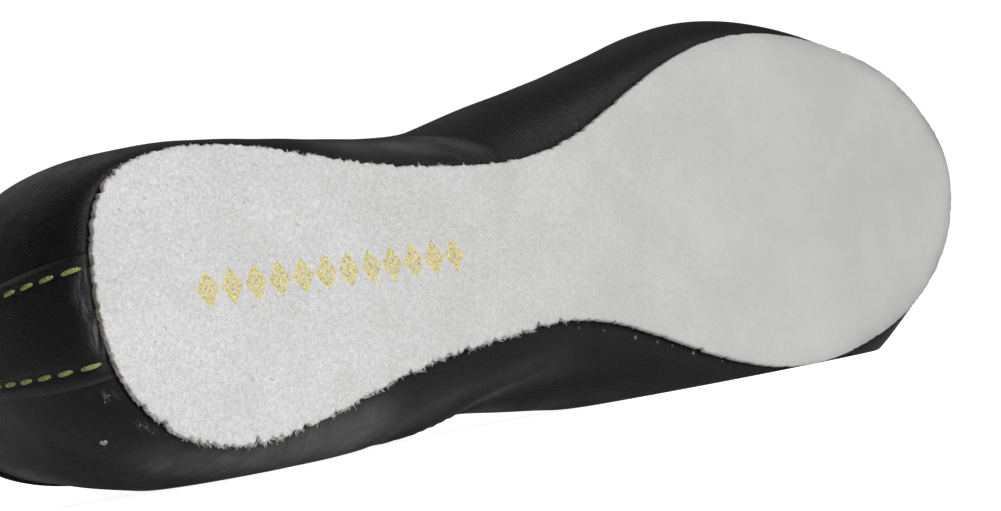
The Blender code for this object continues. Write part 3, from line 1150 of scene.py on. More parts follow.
@dataclass
class Upper:
    """The upper: leather outside, lining inside, open at collar, throat and sole."""

    last: Last
    around: int = 520
    under_levels: int = 24
    side_levels: int = 58
    inner_levels: int = 34
    calm_foot: float = 0.15
    calm_rim: float = 0.1
    unevenness: float = 0.10
    waves: tuple = (14.0, 26.0)
    folds: tuple = (
        Trace(((21.25, 0.60), (21.05, 0.45), (20.85, 0.32), (20.6, 0.18)), 1.2, 0.8),
        Trace(((21.5, 0.34), (21.2, 0.24), (20.95, 0.14)), 1.1, -0.6),
        Trace(((4.2, 1.05), (4.5, 0.86), (4.9, 0.5), (5.35, 0.4), (5.75, 0.22)), 2.6, 1.4),
        Trace(((4.85, 0.95), (5.4, 0.72), (6.0, 0.5), (6.6, 0.35)), 4.0, -1.4),
        Trace(((3.4, 1.5), (4.2, 1.3), (5.0, 1.25)), 3.5, 0.7),
        Trace(((3.2, 1.3), (4.1, 1.12), (4.9, 1.1)), 3.0, -0.6),
        Trace(((22.6, 1.45), (21.8, 1.3), (21.0, 1.3)), 3.5, 0.6),
        Trace(((22.7, 1.28), (21.9, 1.12), (21.2, 1.12)), 3.0, -0.5),
        Trace(((8.2, 1.2), (8.4, 1.5), (8.3, 1.8)), 2.6, -0.5),
        Trace(((8.8, 1.25), (8.9, 1.5), (8.8, 1.75)), 2.6, 0.5),
        Trace(((17.9, 1.2), (17.7, 1.5), (17.8, 1.8)), 2.6, -0.5),
        Trace(((17.3, 1.25), (17.2, 1.5), (17.3, 1.75)), 2.6, 0.5),
        Trace(((1.6, 1.75), (2.4, 1.62), (3.2, 1.7)), 3.2, -0.5),
        Trace(((24.4, 1.72), (23.6, 1.6), (22.9, 1.7)), 3.2, -0.5),
    )
    creases: tuple = (
        Trace(((1.9, 0.7), (2.4, 0.5), (2.9, 0.4)), 10.0, 0.8, False),
        Trace(((24.6, 0.7), (24.0, 0.8), (23.4, 0.8)), 12.0, 0.2, False),
        Trace(((8.0, 1.5), (8.8, 1.5)), 12.0, 0.35, False),
        Trace(((17.2, 1.5), (18.0, 1.5)), 12.0, 0.35, False),
    )
    # painted highlights: the floor's reflection on the medial quarter and light streaks
    # along both waist folds
    painted_sheens: tuple = (
        Trace(((2.0, 0.55), (2.6, 0.36), (3.3, 0.34), (3.7, 0.40)), 6.6, 1.1, False),
        Trace(((4.2, 0.5), (4.8, 0.42), (5.4, 0.32), (5.75, 0.24)), 1.6, 0.25),
        Trace(((22.2, 0.35), (21.5, 0.42), (21.0, 0.36)), 3.6, 0.7),
        Trace(((21.5, 0.75), (21.18, 0.59), (20.92, 0.38), (20.7, 0.2)), 1.5, 0.55),
    )
    smears: tuple = (
        Trace(((25.50, 0.02), (25.60, 0.12), (25.72, 0.16)), 1.1, 0.7),
        Trace(((25.75, 0.22), (25.86, 0.12), (26.0, 0.05)), 1.1, 0.8),
        Trace(((0.0, 0.12), (0.14, 0.08), (0.3, 0.03)), 1.1, 0.9),
        Trace(((0.66, 0.36), (0.74, 0.28), (0.80, 0.18)), 0.7, 0.6),
        Trace(((1.2, 0.22), (1.34, 0.16), (1.5, 0.12)), 0.8, 0.4),
        Trace(((0.5, 0.1), (0.52, 0.35), (0.5, 0.6)), 0.5, 0.35),
    )

    def falloff(self, points: np.ndarray, trace: Trace) -> np.ndarray:
        """Soft cover of a trace over points of the outer face.

        Args:
            points: points in the frame of the last, in a grid of any shape.
            trace: the line that is covered.

        Returns:
            A number for each point, 1 on the line and 0 far from it.
        """
        flat = points.reshape(-1, 3)
        knots = np.array(trace.path, float)
        steps = np.linspace(0, len(knots) - 1, 10 * len(knots))
        turns = np.interp(steps, np.arange(len(knots)), knots[:, 0])
        rises = np.interp(steps, np.arange(len(knots)), knots[:, 1])
        line = self.last.profile(turns, rises)
        near = np.full(len(flat), 1e9)
        share = np.zeros(len(flat))
        for number, point in enumerate(line):
            gap = np.sum((flat - point) ** 2, axis=1)
            closer = gap < near
            near[closer] = gap[closer]
            share[closer] = number / (len(line) - 1)
        cover = np.exp(-near / trace.width ** 2)
        if trace.fade:
            cover = cover * np.sin(math.pi * np.clip(share * 0.86 + 0.07, 0, 1)) ** 0.7
        return cover.reshape(points.shape[:-1])

    def covered(self, points: np.ndarray, traces: Sequence[Trace]) -> np.ndarray:
        """Sum of traces over points of the outer face.

        Args:
            points: points in the frame of the last.
            traces: the lines that are summed.

        Returns:
            A number for each point.
        """
        total = np.zeros(points.shape[:-1])
        for trace in traces:
            total += trace.amount * self.falloff(points, trace)
        return total

    def skin(self, places: np.ndarray, levels: np.ndarray,
             out: np.ndarray | float = 0.0) -> np.ndarray:
        """Points of the folded outer face, raised by out.

        Args:
            places: places round the sole, one for each point.
            levels: levels, one for each point or one for all.
            out: height over the leather in millimetres.

        Returns:
            Points in the frame of the last.
        """
        places = np.asarray(places, float)
        levels = np.broadcast_to(np.asarray(levels, float), places.shape)
        points = self.last.profile(places, levels)
        _, _, normal = self.last.slopes(places, levels)
        calm = (np.clip(levels / self.calm_foot, 0.0, 1.0)
                * np.clip((2.0 - levels) / self.calm_rim, 0.0, 1.0))
        swell = self.covered(points, self.folds)
        swell += self.unevenness * ripple(points, self.waves, 4)
        return points + normal * (swell * calm + out)[:, None]

    def sheet_of(self, levels: np.ndarray, out: float) -> np.ndarray:
        """Grid of points over the whole ring at the given levels."""
        places = self.last.round_places(self.around)
        return np.stack([self.skin(places, level, out) for level in levels], axis=1)

    def level_below_rim(self, places: np.ndarray, drop: float) -> np.ndarray:
        """Levels that lie a distance in millimetres under the opening's edge.

        Args:
            places: places round the opening.
            drop: the distance.

        Returns:
            A level for each place.
        """
        steps = np.linspace(2.0, 1.4, 25)
        rim = self.last.profile(places, 2.0)
        gaps = np.stack([np.linalg.norm(self.last.profile(places, step) - rim, axis=1)
                         for step in steps])
        return np.array([np.interp(drop, gaps[:, k], steps)
                         for k in range(len(places))])

    def build(self, leather: bpy.types.Material, lining: bpy.types.Material) -> None:
        """Build the closed shell with its leather and lining faces.

        Args:
            leather: material of the outer face.
            lining: material of the inner face.
        """
        levels = np.concatenate([np.linspace(-1.0, 0.0, 5)[:-1],
                                 np.linspace(0.0, 1.0, self.under_levels)[:-1],
                                 np.linspace(1.0, 2.0, self.side_levels)])
        inner_levels = np.concatenate([np.linspace(2.0, 0.0, self.inner_levels)[:-1],
                                       np.linspace(0.0, -1.0, 4)])
        drawn = self.sheet_of(levels, 0.0)
        outer = self.last.pressed(self.last.to_world(drawn), self.last.softness)
        inner = self.last.to_world(self.sheet_of(inner_levels, -self.last.wall))
        inner[..., 2] = np.maximum(inner[..., 2], self.last.wall * MM)
        grid = np.concatenate([outer, inner], axis=1)
        faces, column = ring_faces(*grid.shape[:2])
        item = make_piece("upper_shell", grid, faces,
                          (leather, lining), ("upper",))
        inside = ((np.min(column, axis=1) >= len(levels) - 1)
                  & (np.max(column, axis=1) < grid.shape[1]))
        item.data.polygons.foreach_set("material_index", inside.astype(np.int32))
        store_chart(item, grid)
        # the second layer paints highlights into the leather's colour
        for name, traces in (("creased", self.creases), ("sheen_and_scuff", self.painted_sheens),
                             ("glue", self.smears)):
            cover = np.zeros(grid.shape[:2])
            cover[:, :len(levels)] = np.clip(self.covered(drawn, traces), 0.0, 1.0)
            set_layer(item, name, cover)


def ring_faces(rows: int, columns: int) -> tuple[np.ndarray, np.ndarray]:
    """Quads over a grid that closes on itself in both directions, and their columns.

    Args:
        rows: rows of the grid.
        columns: points in each row.

    Returns:
        The quads' point numbers, and the column of each, the first again after the last.
    """
    faces = grid_faces(rows, columns + 1, closed=True)
    row, column = faces // (columns + 1), faces % (columns + 1)
    return row * columns + column % columns, column


def store_chart(item: bpy.types.Object, grid: np.ndarray) -> None:
    """Store distances along and across a grid, in metres, as the piece's chart.

    Args:
        item: the piece.
        grid: its points in metres, row by row.
    """
    run = np.linalg.norm(np.diff(grid, axis=0, append=grid[:1]), axis=2)
    run = np.cumsum(run.mean(axis=1))
    climb = np.cumsum(np.linalg.norm(np.diff(grid, axis=1, prepend=grid[:, :1]),
                                     axis=2), axis=1)
    chart = np.stack([np.broadcast_to(run[:, None], climb.shape), climb,
                      np.zeros(climb.shape)], axis=-1)
    set_layer(item, "chart", chart, vectors=True)


@dataclass
class Plate:
    """A flat piece cut to the sole's outline, drawn in and raised from the sole."""

    last: Last
    inset: float
    bottom: float
    top: float
    around: int = 2400
    rings: int = 12
    round_edge: float = 0.3
    spine_start: float = 16.0
    spine_end: float = 216.0
    rim_turns: tuple = (-60.0, -30.0, 0.0, 30.0, 60.0)
    unevenness: float = 0.10

    def places(self) -> np.ndarray:
        """Places of the outline's points."""
        return self.last.round_places(self.around)

    def face(self, edge: np.ndarray, shares: Sequence[float], lift: float,
             soft: float = 0.0) -> np.ndarray:
        """Grid from an edge in to the spine, on the sole's own curve.

        Args:
            edge: points of the edge, seen from above.
            shares: how far in from the edge each column lies, 1 at the spine.
            lift: height over the sole's upper face.
            soft: height of the face's slow waves.

        Returns:
            Points in the frame of the last, a row for each point of the edge.
        """
        half = np.linspace(0.0, self.last.toe_place, 400)
        middle = 0.5 * (self.last.at(half)[:, :2] + self.last.at(-half)[:, :2])
        mirrored = self.last.at(2 * self.last.toe_place - self.places())[:, :2]
        centre_x = np.clip(0.5 * (edge[:, 0] + mirrored[:, 0]),
                           self.spine_start, self.spine_end)
        spine = np.column_stack([centre_x, np.interp(centre_x, middle[:, 0],
                                                     middle[:, 1])])
        grid = np.zeros((len(edge), len(shares), 3))
        for number, share in enumerate(shares):
            flat = edge * (1.0 - share) + spine * share
            wave = soft * ripple(flat, (11.0, 23.0, 47.0), 9) * min(1.0, 6.0 * share)
            height = self.last.sole_height(flat[:, 0]) + lift + wave
            grid[:, number] = np.column_stack([flat, height])
        return grid

    def edge(self, out: np.ndarray | float = 0.0) -> np.ndarray:
        """The piece's outline, moved outward by out.

        Args:
            out: the distance, for each place or for all.

        Returns:
            Points seen from above.
        """
        places = self.places()
        shift = np.broadcast_to(np.asarray(out, float) - self.inset, places.shape)
        return self.last.at(places)[:, :2] + self.last.outward(places) * shift[:, None]

    def build(self, name: str, node: str, slot: str, ragged: np.ndarray | float,
              material: bpy.types.Material) -> bpy.types.Object:
        """Build the closed plate in place of its node.

        Args:
            name: piece name.
            node: the part's node that it stands for.
            slot: material slot of the record; not used.
            ragged: how far the cut edge stands out, for each place or for all.
            material: the plate's material.

        Returns:
            The plate.
        """
        radius = self.round_edge
        shares = np.linspace(0.0, 1.0, self.rings) ** 1.4
        inner = self.edge(ragged - radius)
        low = self.face(inner, shares[::-1], self.bottom, self.unevenness)
        high = self.face(inner, shares[::2], self.top)
        rim = []
        for turn in self.rim_turns:
            out = radius * (math.cos(math.radians(turn)) - 1.0)
            middle = 0.5 * (self.bottom + self.top)
            if turn:
                middle = self.bottom + radius if turn < 0 else self.top - radius
            lift = middle + radius * math.sin(math.radians(turn))
            rim.append(self.face(self.edge(ragged + out), (0.0,), lift))
        grid = np.concatenate([low, *rim, high], axis=1)
        world = self.last.pressed(self.last.to_world(grid), 0.02)
        faces = grid_faces(grid.shape[0], grid.shape[1], closed=True)
        item = make_piece(name, world, faces, [material], (node,))
        set_layer(item, "chart", grid * MM, vectors=True)
        # brown cut edge; painted shade on the edge's upper part and upper face; painted
        # shade on the rounded rim
        cut, shaded_top, border = np.zeros((3, grid.shape[1]))
        cut[self.rings - 1:self.rings + 3] = (0.25, 1.0, 1.0, 0.9)
        shaded_top[self.rings + 3:] = 1.0
        border[self.rings - 3:self.rings + 2] = (0.12, 0.5, 1.0, 1.0, 1.0)
        for layer, around, across in (("cut", self.browned(), cut),
                                      ("shaded_top", np.ones(len(grid)), shaded_top),
                                      ("border", self.rim_shade_amount(), border)):
            set_layer(item, layer, np.outer(around, across))
        return item

    def rim_shade_amount(self) -> np.ndarray:
        """How much shade is painted on the sole's rounded rim: most round the toe."""
        knots = (0.0, 7.0, 9.5, 11.5, 13.0, 15.0, 16.5, 19.0, 26.0)
        grades = (0.0, 0.0, 0.5, 0.8, 0.9, 1.0, 0.6, 0.0, 0.0)
        return np.interp(self.places(), knots, grades)

    def browned(self) -> np.ndarray:
        """How brown the cut edge is: most at the heel's back, least at the toe."""
        knots = (0.0, 1.0, 2.2, 6.0, 9.0, 17.0, 20.0, 24.0, 25.2, 26.0)
        grades = (0.95, 0.8, 0.4, 0.4, 0.12, 0.12, 0.35, 0.6, 0.95, 0.95)
        return np.interp(self.places(), knots, grades)


@dataclass
class Outsole:
    """The suede sole, whose raw cut edge is frayed at the heel and waist."""

    last: Last
    seed: int = 21
    fray_height: float = 0.34
    notches: int = 260
    notch_depth: float = 0.85
    notch_width: tuple = (0.24, 0.65)
    notch_share: tuple = (0.3, 1.0)
    tufts: int = 330
    strands: int = 7
    strand_length: float = 0.95
    strand_radius: float = 0.11
    strand_taper: tuple = (1.0, 0.9, 0.7, 0.35)
    strand_sides: int = 3
    smooth_width: float = 9.0
    toe_span: float = 3.6
    most_rounding: float = 0.8

    def rounding(self, places: np.ndarray, outline: np.ndarray) -> np.ndarray:
        """How far out the worn edge moves so that it runs evenly round the toe.

        Args:
            places: places of the outline's points.
            outline: points of the sole's outline, in millimetres.

        Returns:
            A distance for each point, in millimetres.
        """
        steps = np.linalg.norm(np.diff(outline, axis=0, append=outline[:1]), axis=1)
        run = np.cumsum(steps)
        share = np.exp(-((run[:, None] - run) / self.smooth_width) ** 2) * steps
        share /= share.sum(axis=1)[:, None]
        smooth = share @ (2.0 * outline - share @ outline)
        shift = np.sum((smooth - outline) * self.last.outward(places), axis=1)
        near = self.toe_span - np.abs(places - self.last.toe_place)
        return (np.clip(shift, -self.most_rounding, self.most_rounding)
                * np.clip(near, 0.0, 1.0))

    def frayed(self, places: np.ndarray) -> np.ndarray:
        """How strongly the edge is frayed at each place, 0 to 1."""
        knots = (0.0, 0.7, 1.3, 3.0, 5.2, 6.2, 8.0, 18.5, 20.0, 21.5, 24.5, 25.4, 26.0)
        grades = (0.3, 0.35, 0.9, 1.0, 0.95, 0.5, 0.18, 0.15, 0.5, 0.6, 0.55, 0.35, 0.3)
        return np.interp(np.mod(places, 2 * self.last.toe_place), knots, grades)

    def build(self, suede: bpy.types.Material, fibre: bpy.types.Material) -> None:
        """Build the sole and the loose fibres along its edge.

        Args:
            suede: material of the sole.
            fibre: material of the fibres.
        """
        plate = Plate(self.last, 0.0, -self.last.sole_thickness, 0.0)
        places = plate.places()
        outline = self.last.at(places)[:, :2]
        ragged = self.fray_height * ripple(outline, (1.3, 2.1, 3.7), self.seed)
        chance = np.random.default_rng(self.seed)
        for centre in chance.choice(len(places), self.notches, replace=False):
            gap = np.linalg.norm(outline - outline[centre], axis=1)
            width = chance.uniform(*self.notch_width)
            depth = self.notch_depth * chance.uniform(*self.notch_share)
            ragged -= depth * np.exp(-(gap / width) ** 2)
        ragged *= self.frayed(places)
        ragged += self.rounding(places, outline)
        plate.build("sole_suede_plate", "outsole", "sole_suede", ragged, suede)
        self._fibres(places, plate.edge(ragged), fibre)

    def _fibres(self, places: np.ndarray, edge: np.ndarray,
                fibre: bpy.types.Material) -> None:
        """Build the tufts of loose fibres as one piece.

        Args:
            places: places of the sole's outline.
            edge: points of the frayed outline, seen from above.
            fibre: material of the fibres.
        """
        chance = np.random.default_rng(self.seed + 1)
        weight = self.frayed(places) ** 1.6
        outward = self.last.outward(places)
        picks = chance.choice(len(places), self.tufts, p=weight / weight.sum())
        strands = Strands()
        for pick in picks:
            strength = self.frayed(places[pick:pick + 1])[0]
            lean = chance.normal(0.0, 0.5)
            for _ in range(self.strands):
                near = (pick + chance.integers(-3, 4)) % len(places)
                way = np.array([*outward[near], 0.0]) * chance.uniform(0.35, 0.9)
                side = np.array([-outward[near][1], outward[near][0], 0.0])
                way += side * (lean + chance.normal(0.0, 0.35))
                way[2] = chance.normal(-0.25, 0.3)
                length = self.strand_length * strength * chance.uniform(0.35, 1.0)
                foot = np.array([*edge[near], chance.uniform(0.05, 0.8)])
                foot[2] += self.last.sole_height(foot[0]) - self.last.sole_thickness
                foot[:2] -= 0.2 * outward[near]
                curl = chance.normal(0.0, 0.35, 3)
                steps = np.linspace(0.0, 1.0, len(self.strand_taper))[:, None]
                path = foot + length * (way * steps + curl * steps ** 2)
                world = self.last.to_world(path)
                world[:, 2] = np.maximum(world[:, 2], self.strand_radius * MM)
                radii = self.strand_radius * np.array(self.strand_taper)
                strands.add(world, radii * MM, self.strand_sides)
        strands.build("sole_edge_fibres", "sole_suede", fibre)


@dataclass(frozen=True)
class StitchRow:
    """The look of a row of stitches, in millimetres."""

    pitch: float
    length: float
    radius: float
    height: float
    lean: float = 0.0
    start: float = 1.0


def sew(name: str, upper: Upper, row: StitchRow, lines: Sequence[tuple],
        thread: bpy.types.Material) -> None:
    """Lay rows of stitches over the upper as one piece.

    Args:
        name: piece name.
        upper: the upper that they are sewn through.
        row: the stitches' sizes.
        lines: for each row its places, its levels and the height of what is sewn down.
        thread: the stitches' material.
    """
    strands = Strands()
    share = np.linspace(0.0, 1.0, 9)
    arch = np.sin(math.pi * share) ** 0.5
    radii = row.radius * (0.55 + 0.45 * arch)
    for places, levels, base in lines:
        line = upper.last.profile(places, levels)
        steps = np.linalg.norm(np.diff(line, axis=0), axis=1)
        run = np.concatenate([[0.0], np.cumsum(steps)])
        starts = np.arange(row.start, run[-1] - row.length - 0.5, row.pitch)
        along = starts[:, None] + row.length * share
        turns = np.interp(along, run, places) + row.lean * (share - 0.5)
        rises = np.interp(along, run, levels)
        out = np.broadcast_to(base - row.radius + row.height * arch, along.shape)
        paths = upper.skin(turns.ravel(), np.minimum(rises.ravel(), 2.0), out.ravel())
        for path in upper.last.to_world(paths).reshape(len(starts), len(share), 3):
            strands.add(path, radii * MM, 8)
    strands.build(name, "upper_leather", thread)


@dataclass
class BackStrip:
    """The strip of leather up the back of the heel, with its two rows of stitches."""

    upper: Upper
    half_width: float = 11.3
    centre: float = -1.3
    taper: float = 0.24
    thickness: float = 1.2
    skive: float = 1.6
    skived_share: float = 0.35
    foot_share: float = 0.3
    foot_rise: float = 0.4
    stitch_dip: float = 0.28
    dip_width: float = 0.9
    foot_level: float = 0.0
    top_level: float = 1.94
    rows: int = 90
    columns: int = 61
    stitch_row: float = 0.75
    lift: float = 0.04
    # pale medial edge: painted highlight, partly the skived edge's greyish fuzz
    edge_sheen_and_fuzz: float = 0.55
    sheen_and_fuzz_width: float = 0.05
    sheen_and_fuzz_levels: tuple = ((0.0, 0.1, 0.5, 0.9), (0.0, 1.0, 0.8, 0.0))
    stitches: StitchRow = StitchRow(4.7, 3.45, 0.46, 0.52, 0.010, 1.4)

    def place_of(self, share: np.ndarray, level: np.ndarray) -> np.ndarray:
        """Places at shares of the half width and at levels of the heel.

        Args:
            share: -1 at the strip's lateral edge, 1 at its medial one.
            level: levels of the heel.

        Returns:
            A place for each pair.
        """
        heel = np.linspace(-1.0, 1.0, 401)
        spread = self.centre + np.asarray(share, float) * self.half_width
        foot = np.interp(spread, self.upper.last.at(heel)[:, 1], heel)
        return foot * (1.0 - self.taper * np.minimum(level, 1.0))

    def height_at(self, share: np.ndarray, level: float) -> np.ndarray:
        """Height of the strip's face over the upper, thin at its edges and foot.

        Args:
            share: shares of the half width.
            level: level of the heel.

        Returns:
            A height for each share.
        """
        inside = (1.0 - np.abs(share)) * self.half_width
        skived = self.skived_share + (1.0 - self.skived_share) * np.clip(
            inside / self.skive, 0.0, 1.0) ** 0.7
        foot = self.foot_share + (1.0 - self.foot_share) * np.clip(
            level / self.foot_rise, 0.0, 1.0) ** 0.8
        near = (np.abs(share) - self.stitch_row) * self.half_width
        dip = self.stitch_dip * np.exp(-(near / self.dip_width) ** 2)
        return (self.thickness * skived - dip) * foot

    def build(self, leather: bpy.types.Material, thread: bpy.types.Material) -> None:
        """Build the strip and its stitches.

        Args:
            leather: material of the strip.
            thread: material of the stitches.
        """
        top = np.linspace(-1.0, 1.0, self.columns)
        shares = np.concatenate([top, top[::-1]])
        levels = np.linspace(self.foot_level, self.top_level, self.rows)
        grid = np.zeros((len(shares), len(levels), 3))
        for column, level in enumerate(levels):
            high = self.height_at(top, level)
            low = np.full(len(top), self.lift)
            if column == len(levels) - 1:
                high = 0.5 * high
            outs = np.concatenate([high, low])
            grid[:, column] = self.upper.skin(self.place_of(shares, level), level, outs)
        world = self.upper.last.to_world(grid)
        faces = grid_faces(len(shares), len(levels), closed=True)
        item = make_piece("back_strip_leather", world, faces,
                          [leather], ("back_strip",))
        store_chart(item, world)
        # painted highlight and greyish fuzz along the medial edge, in the pale sheen layer
        edge = np.exp(-((1.0 - shares) / self.sheen_and_fuzz_width) ** 2)
        worn = self.edge_sheen_and_fuzz * np.outer(edge, np.interp(levels, *self.sheen_and_fuzz_levels))
        smeared = np.clip(self.upper.covered(grid, self.upper.smears), 0.0, 1.0)
        for name, cover in (("creased", np.zeros(worn.shape)), ("sheen_and_scuff", worn),
                            ("glue", smeared)):
            set_layer(item, name, cover)
        self._sew(thread)

    def _sew(self, thread: bpy.types.Material) -> None:
        """Lay the visible stitches along both edges of the strip."""
        levels = np.linspace(0.02, self.top_level, 400)
        lines = []
        for share in (-self.stitch_row, self.stitch_row):
            base = float(self.height_at(np.array([share]), 1.0)[0])
            lines.append((self.place_of(np.full(len(levels), share), levels),
                          levels, base))
        sew("back_strip_stitches", self.upper, self.stitches, lines, thread)


@dataclass
class ToplineSeams:
    """Black stitches under the binding, and the facing's seam beside the throat."""

    upper: Upper
    drop: float = 3.7
    facing_drop: float = 10.5
    facing_from: float = 4.6
    line_from: float = 0.55
    line_to: float = 25.4
    row: StitchRow = StitchRow(2.6, 1.9, 0.2, 0.3)

    def build(self, thread: bpy.types.Material) -> None:
        """Build the seams as one piece."""
        whole = 2 * self.upper.last.toe_place
        seams = ((np.linspace(self.line_from, self.line_to, 1400), self.drop),
                 (np.linspace(self.facing_from, whole - self.facing_from, 900),
                  self.facing_drop))
        lines = [(places, self.upper.level_below_rim(places, drop), 0.0)
                 for places, drop in seams]
        sew("topline_stitches", self.upper, self.row, lines, thread)


@dataclass(frozen=True)
class Speck:
    """A dried drop of glue or lint on the upper, by place, level and radius."""

    place: float
    level: float
    radius: float


@dataclass
class GlueSpecks:
    """Small dried specks beside the sole's edge."""

    upper: Upper
    specks: tuple = (
        Speck(1.22, 0.59, 0.75), Speck(1.15, 0.47, 0.16), Speck(0.80, 0.30, 0.22),
        Speck(0.76, 0.22, 0.25), Speck(1.27, 0.20, 0.22), Speck(1.34, 0.16, 0.25),
        Speck(1.45, 0.18, 0.18), Speck(1.60, 0.10, 0.22), Speck(0.42, 0.12, 0.22),
        Speck(25.62, 0.10, 0.25), Speck(6.12, 0.08, 0.30), Speck(6.42, 0.08, 0.42),
        Speck(6.62, 0.06, 0.38), Speck(6.76, 0.05, 0.30), Speck(6.96, 0.05, 0.50),
        Speck(5.86, 0.07, 0.25), Speck(7.25, 0.05, 0.28),
    )
    flatness: float = 0.45
    fresh: float = 0.6
    unevenness: float = 0.22
    sides: int = 12

    def build(self, glue: bpy.types.Material, old: bpy.types.Material) -> None:
        """Build the specks as one piece, those smaller than fresh in the old glue.

        Args:
            glue: material of the larger specks.
            old: material of the smaller ones.
        """
        points, faces = [], []
        chance = np.random.default_rng(5)
        turns = np.linspace(0.0, 2.0 * math.pi, self.sides + 1)[:-1]
        for speck in self.specks:
            place = np.array([speck.place])
            centre = self.upper.skin(place, speck.level)[0]
            along, rise, out = (row[0] for row in self.upper.last.slopes(
                place, speck.level))
            uneven = 1.0 + self.unevenness * chance.normal(size=self.sides)[:, None]
            ring = (np.cos(turns)[:, None] * along + np.sin(turns)[:, None] * rise)
            ring = ring * speck.radius
            top = out * self.flatness * speck.radius
            blob = (centre - out * 0.1 + ring * uneven,
                    centre + 0.5 * top + ring * 0.8 * uneven,
                    centre + top + ring * 0.4)
            first = len(blob) * self.sides * len(points)
            points.append(self.upper.last.to_world(np.vstack(blob)))
            for a in range(first, first + 2 * self.sides):
                b = a + 1 if (a + 1 - first) % self.sides else a + 1 - self.sides
                faces.append((a, b, b + self.sides, a + self.sides))
            lid = first + 2 * self.sides
            faces.append(tuple(range(lid, lid + self.sides)))
            faces.append(tuple(range(first, first + self.sides))[::-1])
        item = make_piece("glue_specks", np.vstack(points), faces,
                          (glue, old))
        small = [speck.radius < self.fresh for speck in self.specks]
        item.data.polygons.foreach_set(
            "material_index", np.repeat(small, 2 * self.sides + 2).astype(np.int32))


@dataclass
class Binding:
    """The folded leather edge round the collar and throat."""

    upper: Upper
    depth: float = 2.6
    over: float = 0.5
    around: int = 640
    corner: float = 0.15
    bulge: float = 0.12
    brow: float = 0.55
    steps: tuple = (-1.7, -0.9, -0.2)
    heel_extra: float = 1.2
    heel_half: float = 13.0
    heel_length: float = 12.0

    def section(self, wall: float) -> list:
        """Outline of the folded strip.

        Args:
            wall: thickness of the upper that it is folded round.

        Returns:
            Height over the edge and distance out of the outer face for each point.
        """
        over, depth = self.over, self.depth
        inner = -wall - over
        return [(-depth, 0.05), (self.corner - depth, over),
                *((step, over + self.bulge) for step in self.steps),
                (0.3, over - 0.1), (self.brow, -0.35), (self.brow, 0.35 - wall),
                (0.3, inner + 0.1), *((step, inner - 0.1) for step in self.steps[::-1]),
                (self.corner - depth, inner), (-depth, -wall - 0.05),
                (-0.5 * depth, -0.6)]

    def build(self, leather: bpy.types.Material) -> None:
        """Build the binding as one closed ring, thicker over the back strip.

        Args:
            leather: its material.
        """
        last = self.upper.last
        places = last.round_places(self.around)
        edge = self.upper.skin(places, 2.0)
        below = self.upper.skin(places, 1.94)
        rise = edge - below
        rise /= np.linalg.norm(rise, axis=1)[:, None]
        out = self.upper.skin(places, 2.0, 1.0) - edge
        heel = np.exp(-(edge[:, 1] / self.heel_half) ** 6)
        extra = self.heel_extra * heel * (edge[:, 0] < self.heel_length)
        section = self.section(last.wall)
        grid = np.zeros((len(places), len(section), 3))
        for column, (climb, away) in enumerate(section):
            lift = away + extra * (away > 0)
            grid[:, column] = edge + rise * climb + out * lift[:, None]
        faces, _ = ring_faces(*grid.shape[:2])
        make_piece("edge_binding", last.to_world(grid), faces,
                   [leather])


@dataclass(frozen=True)
class LacePair:
    """A pair of lace loops: its place along the opening and its depth under it."""

    rim_x: float
    sink: float


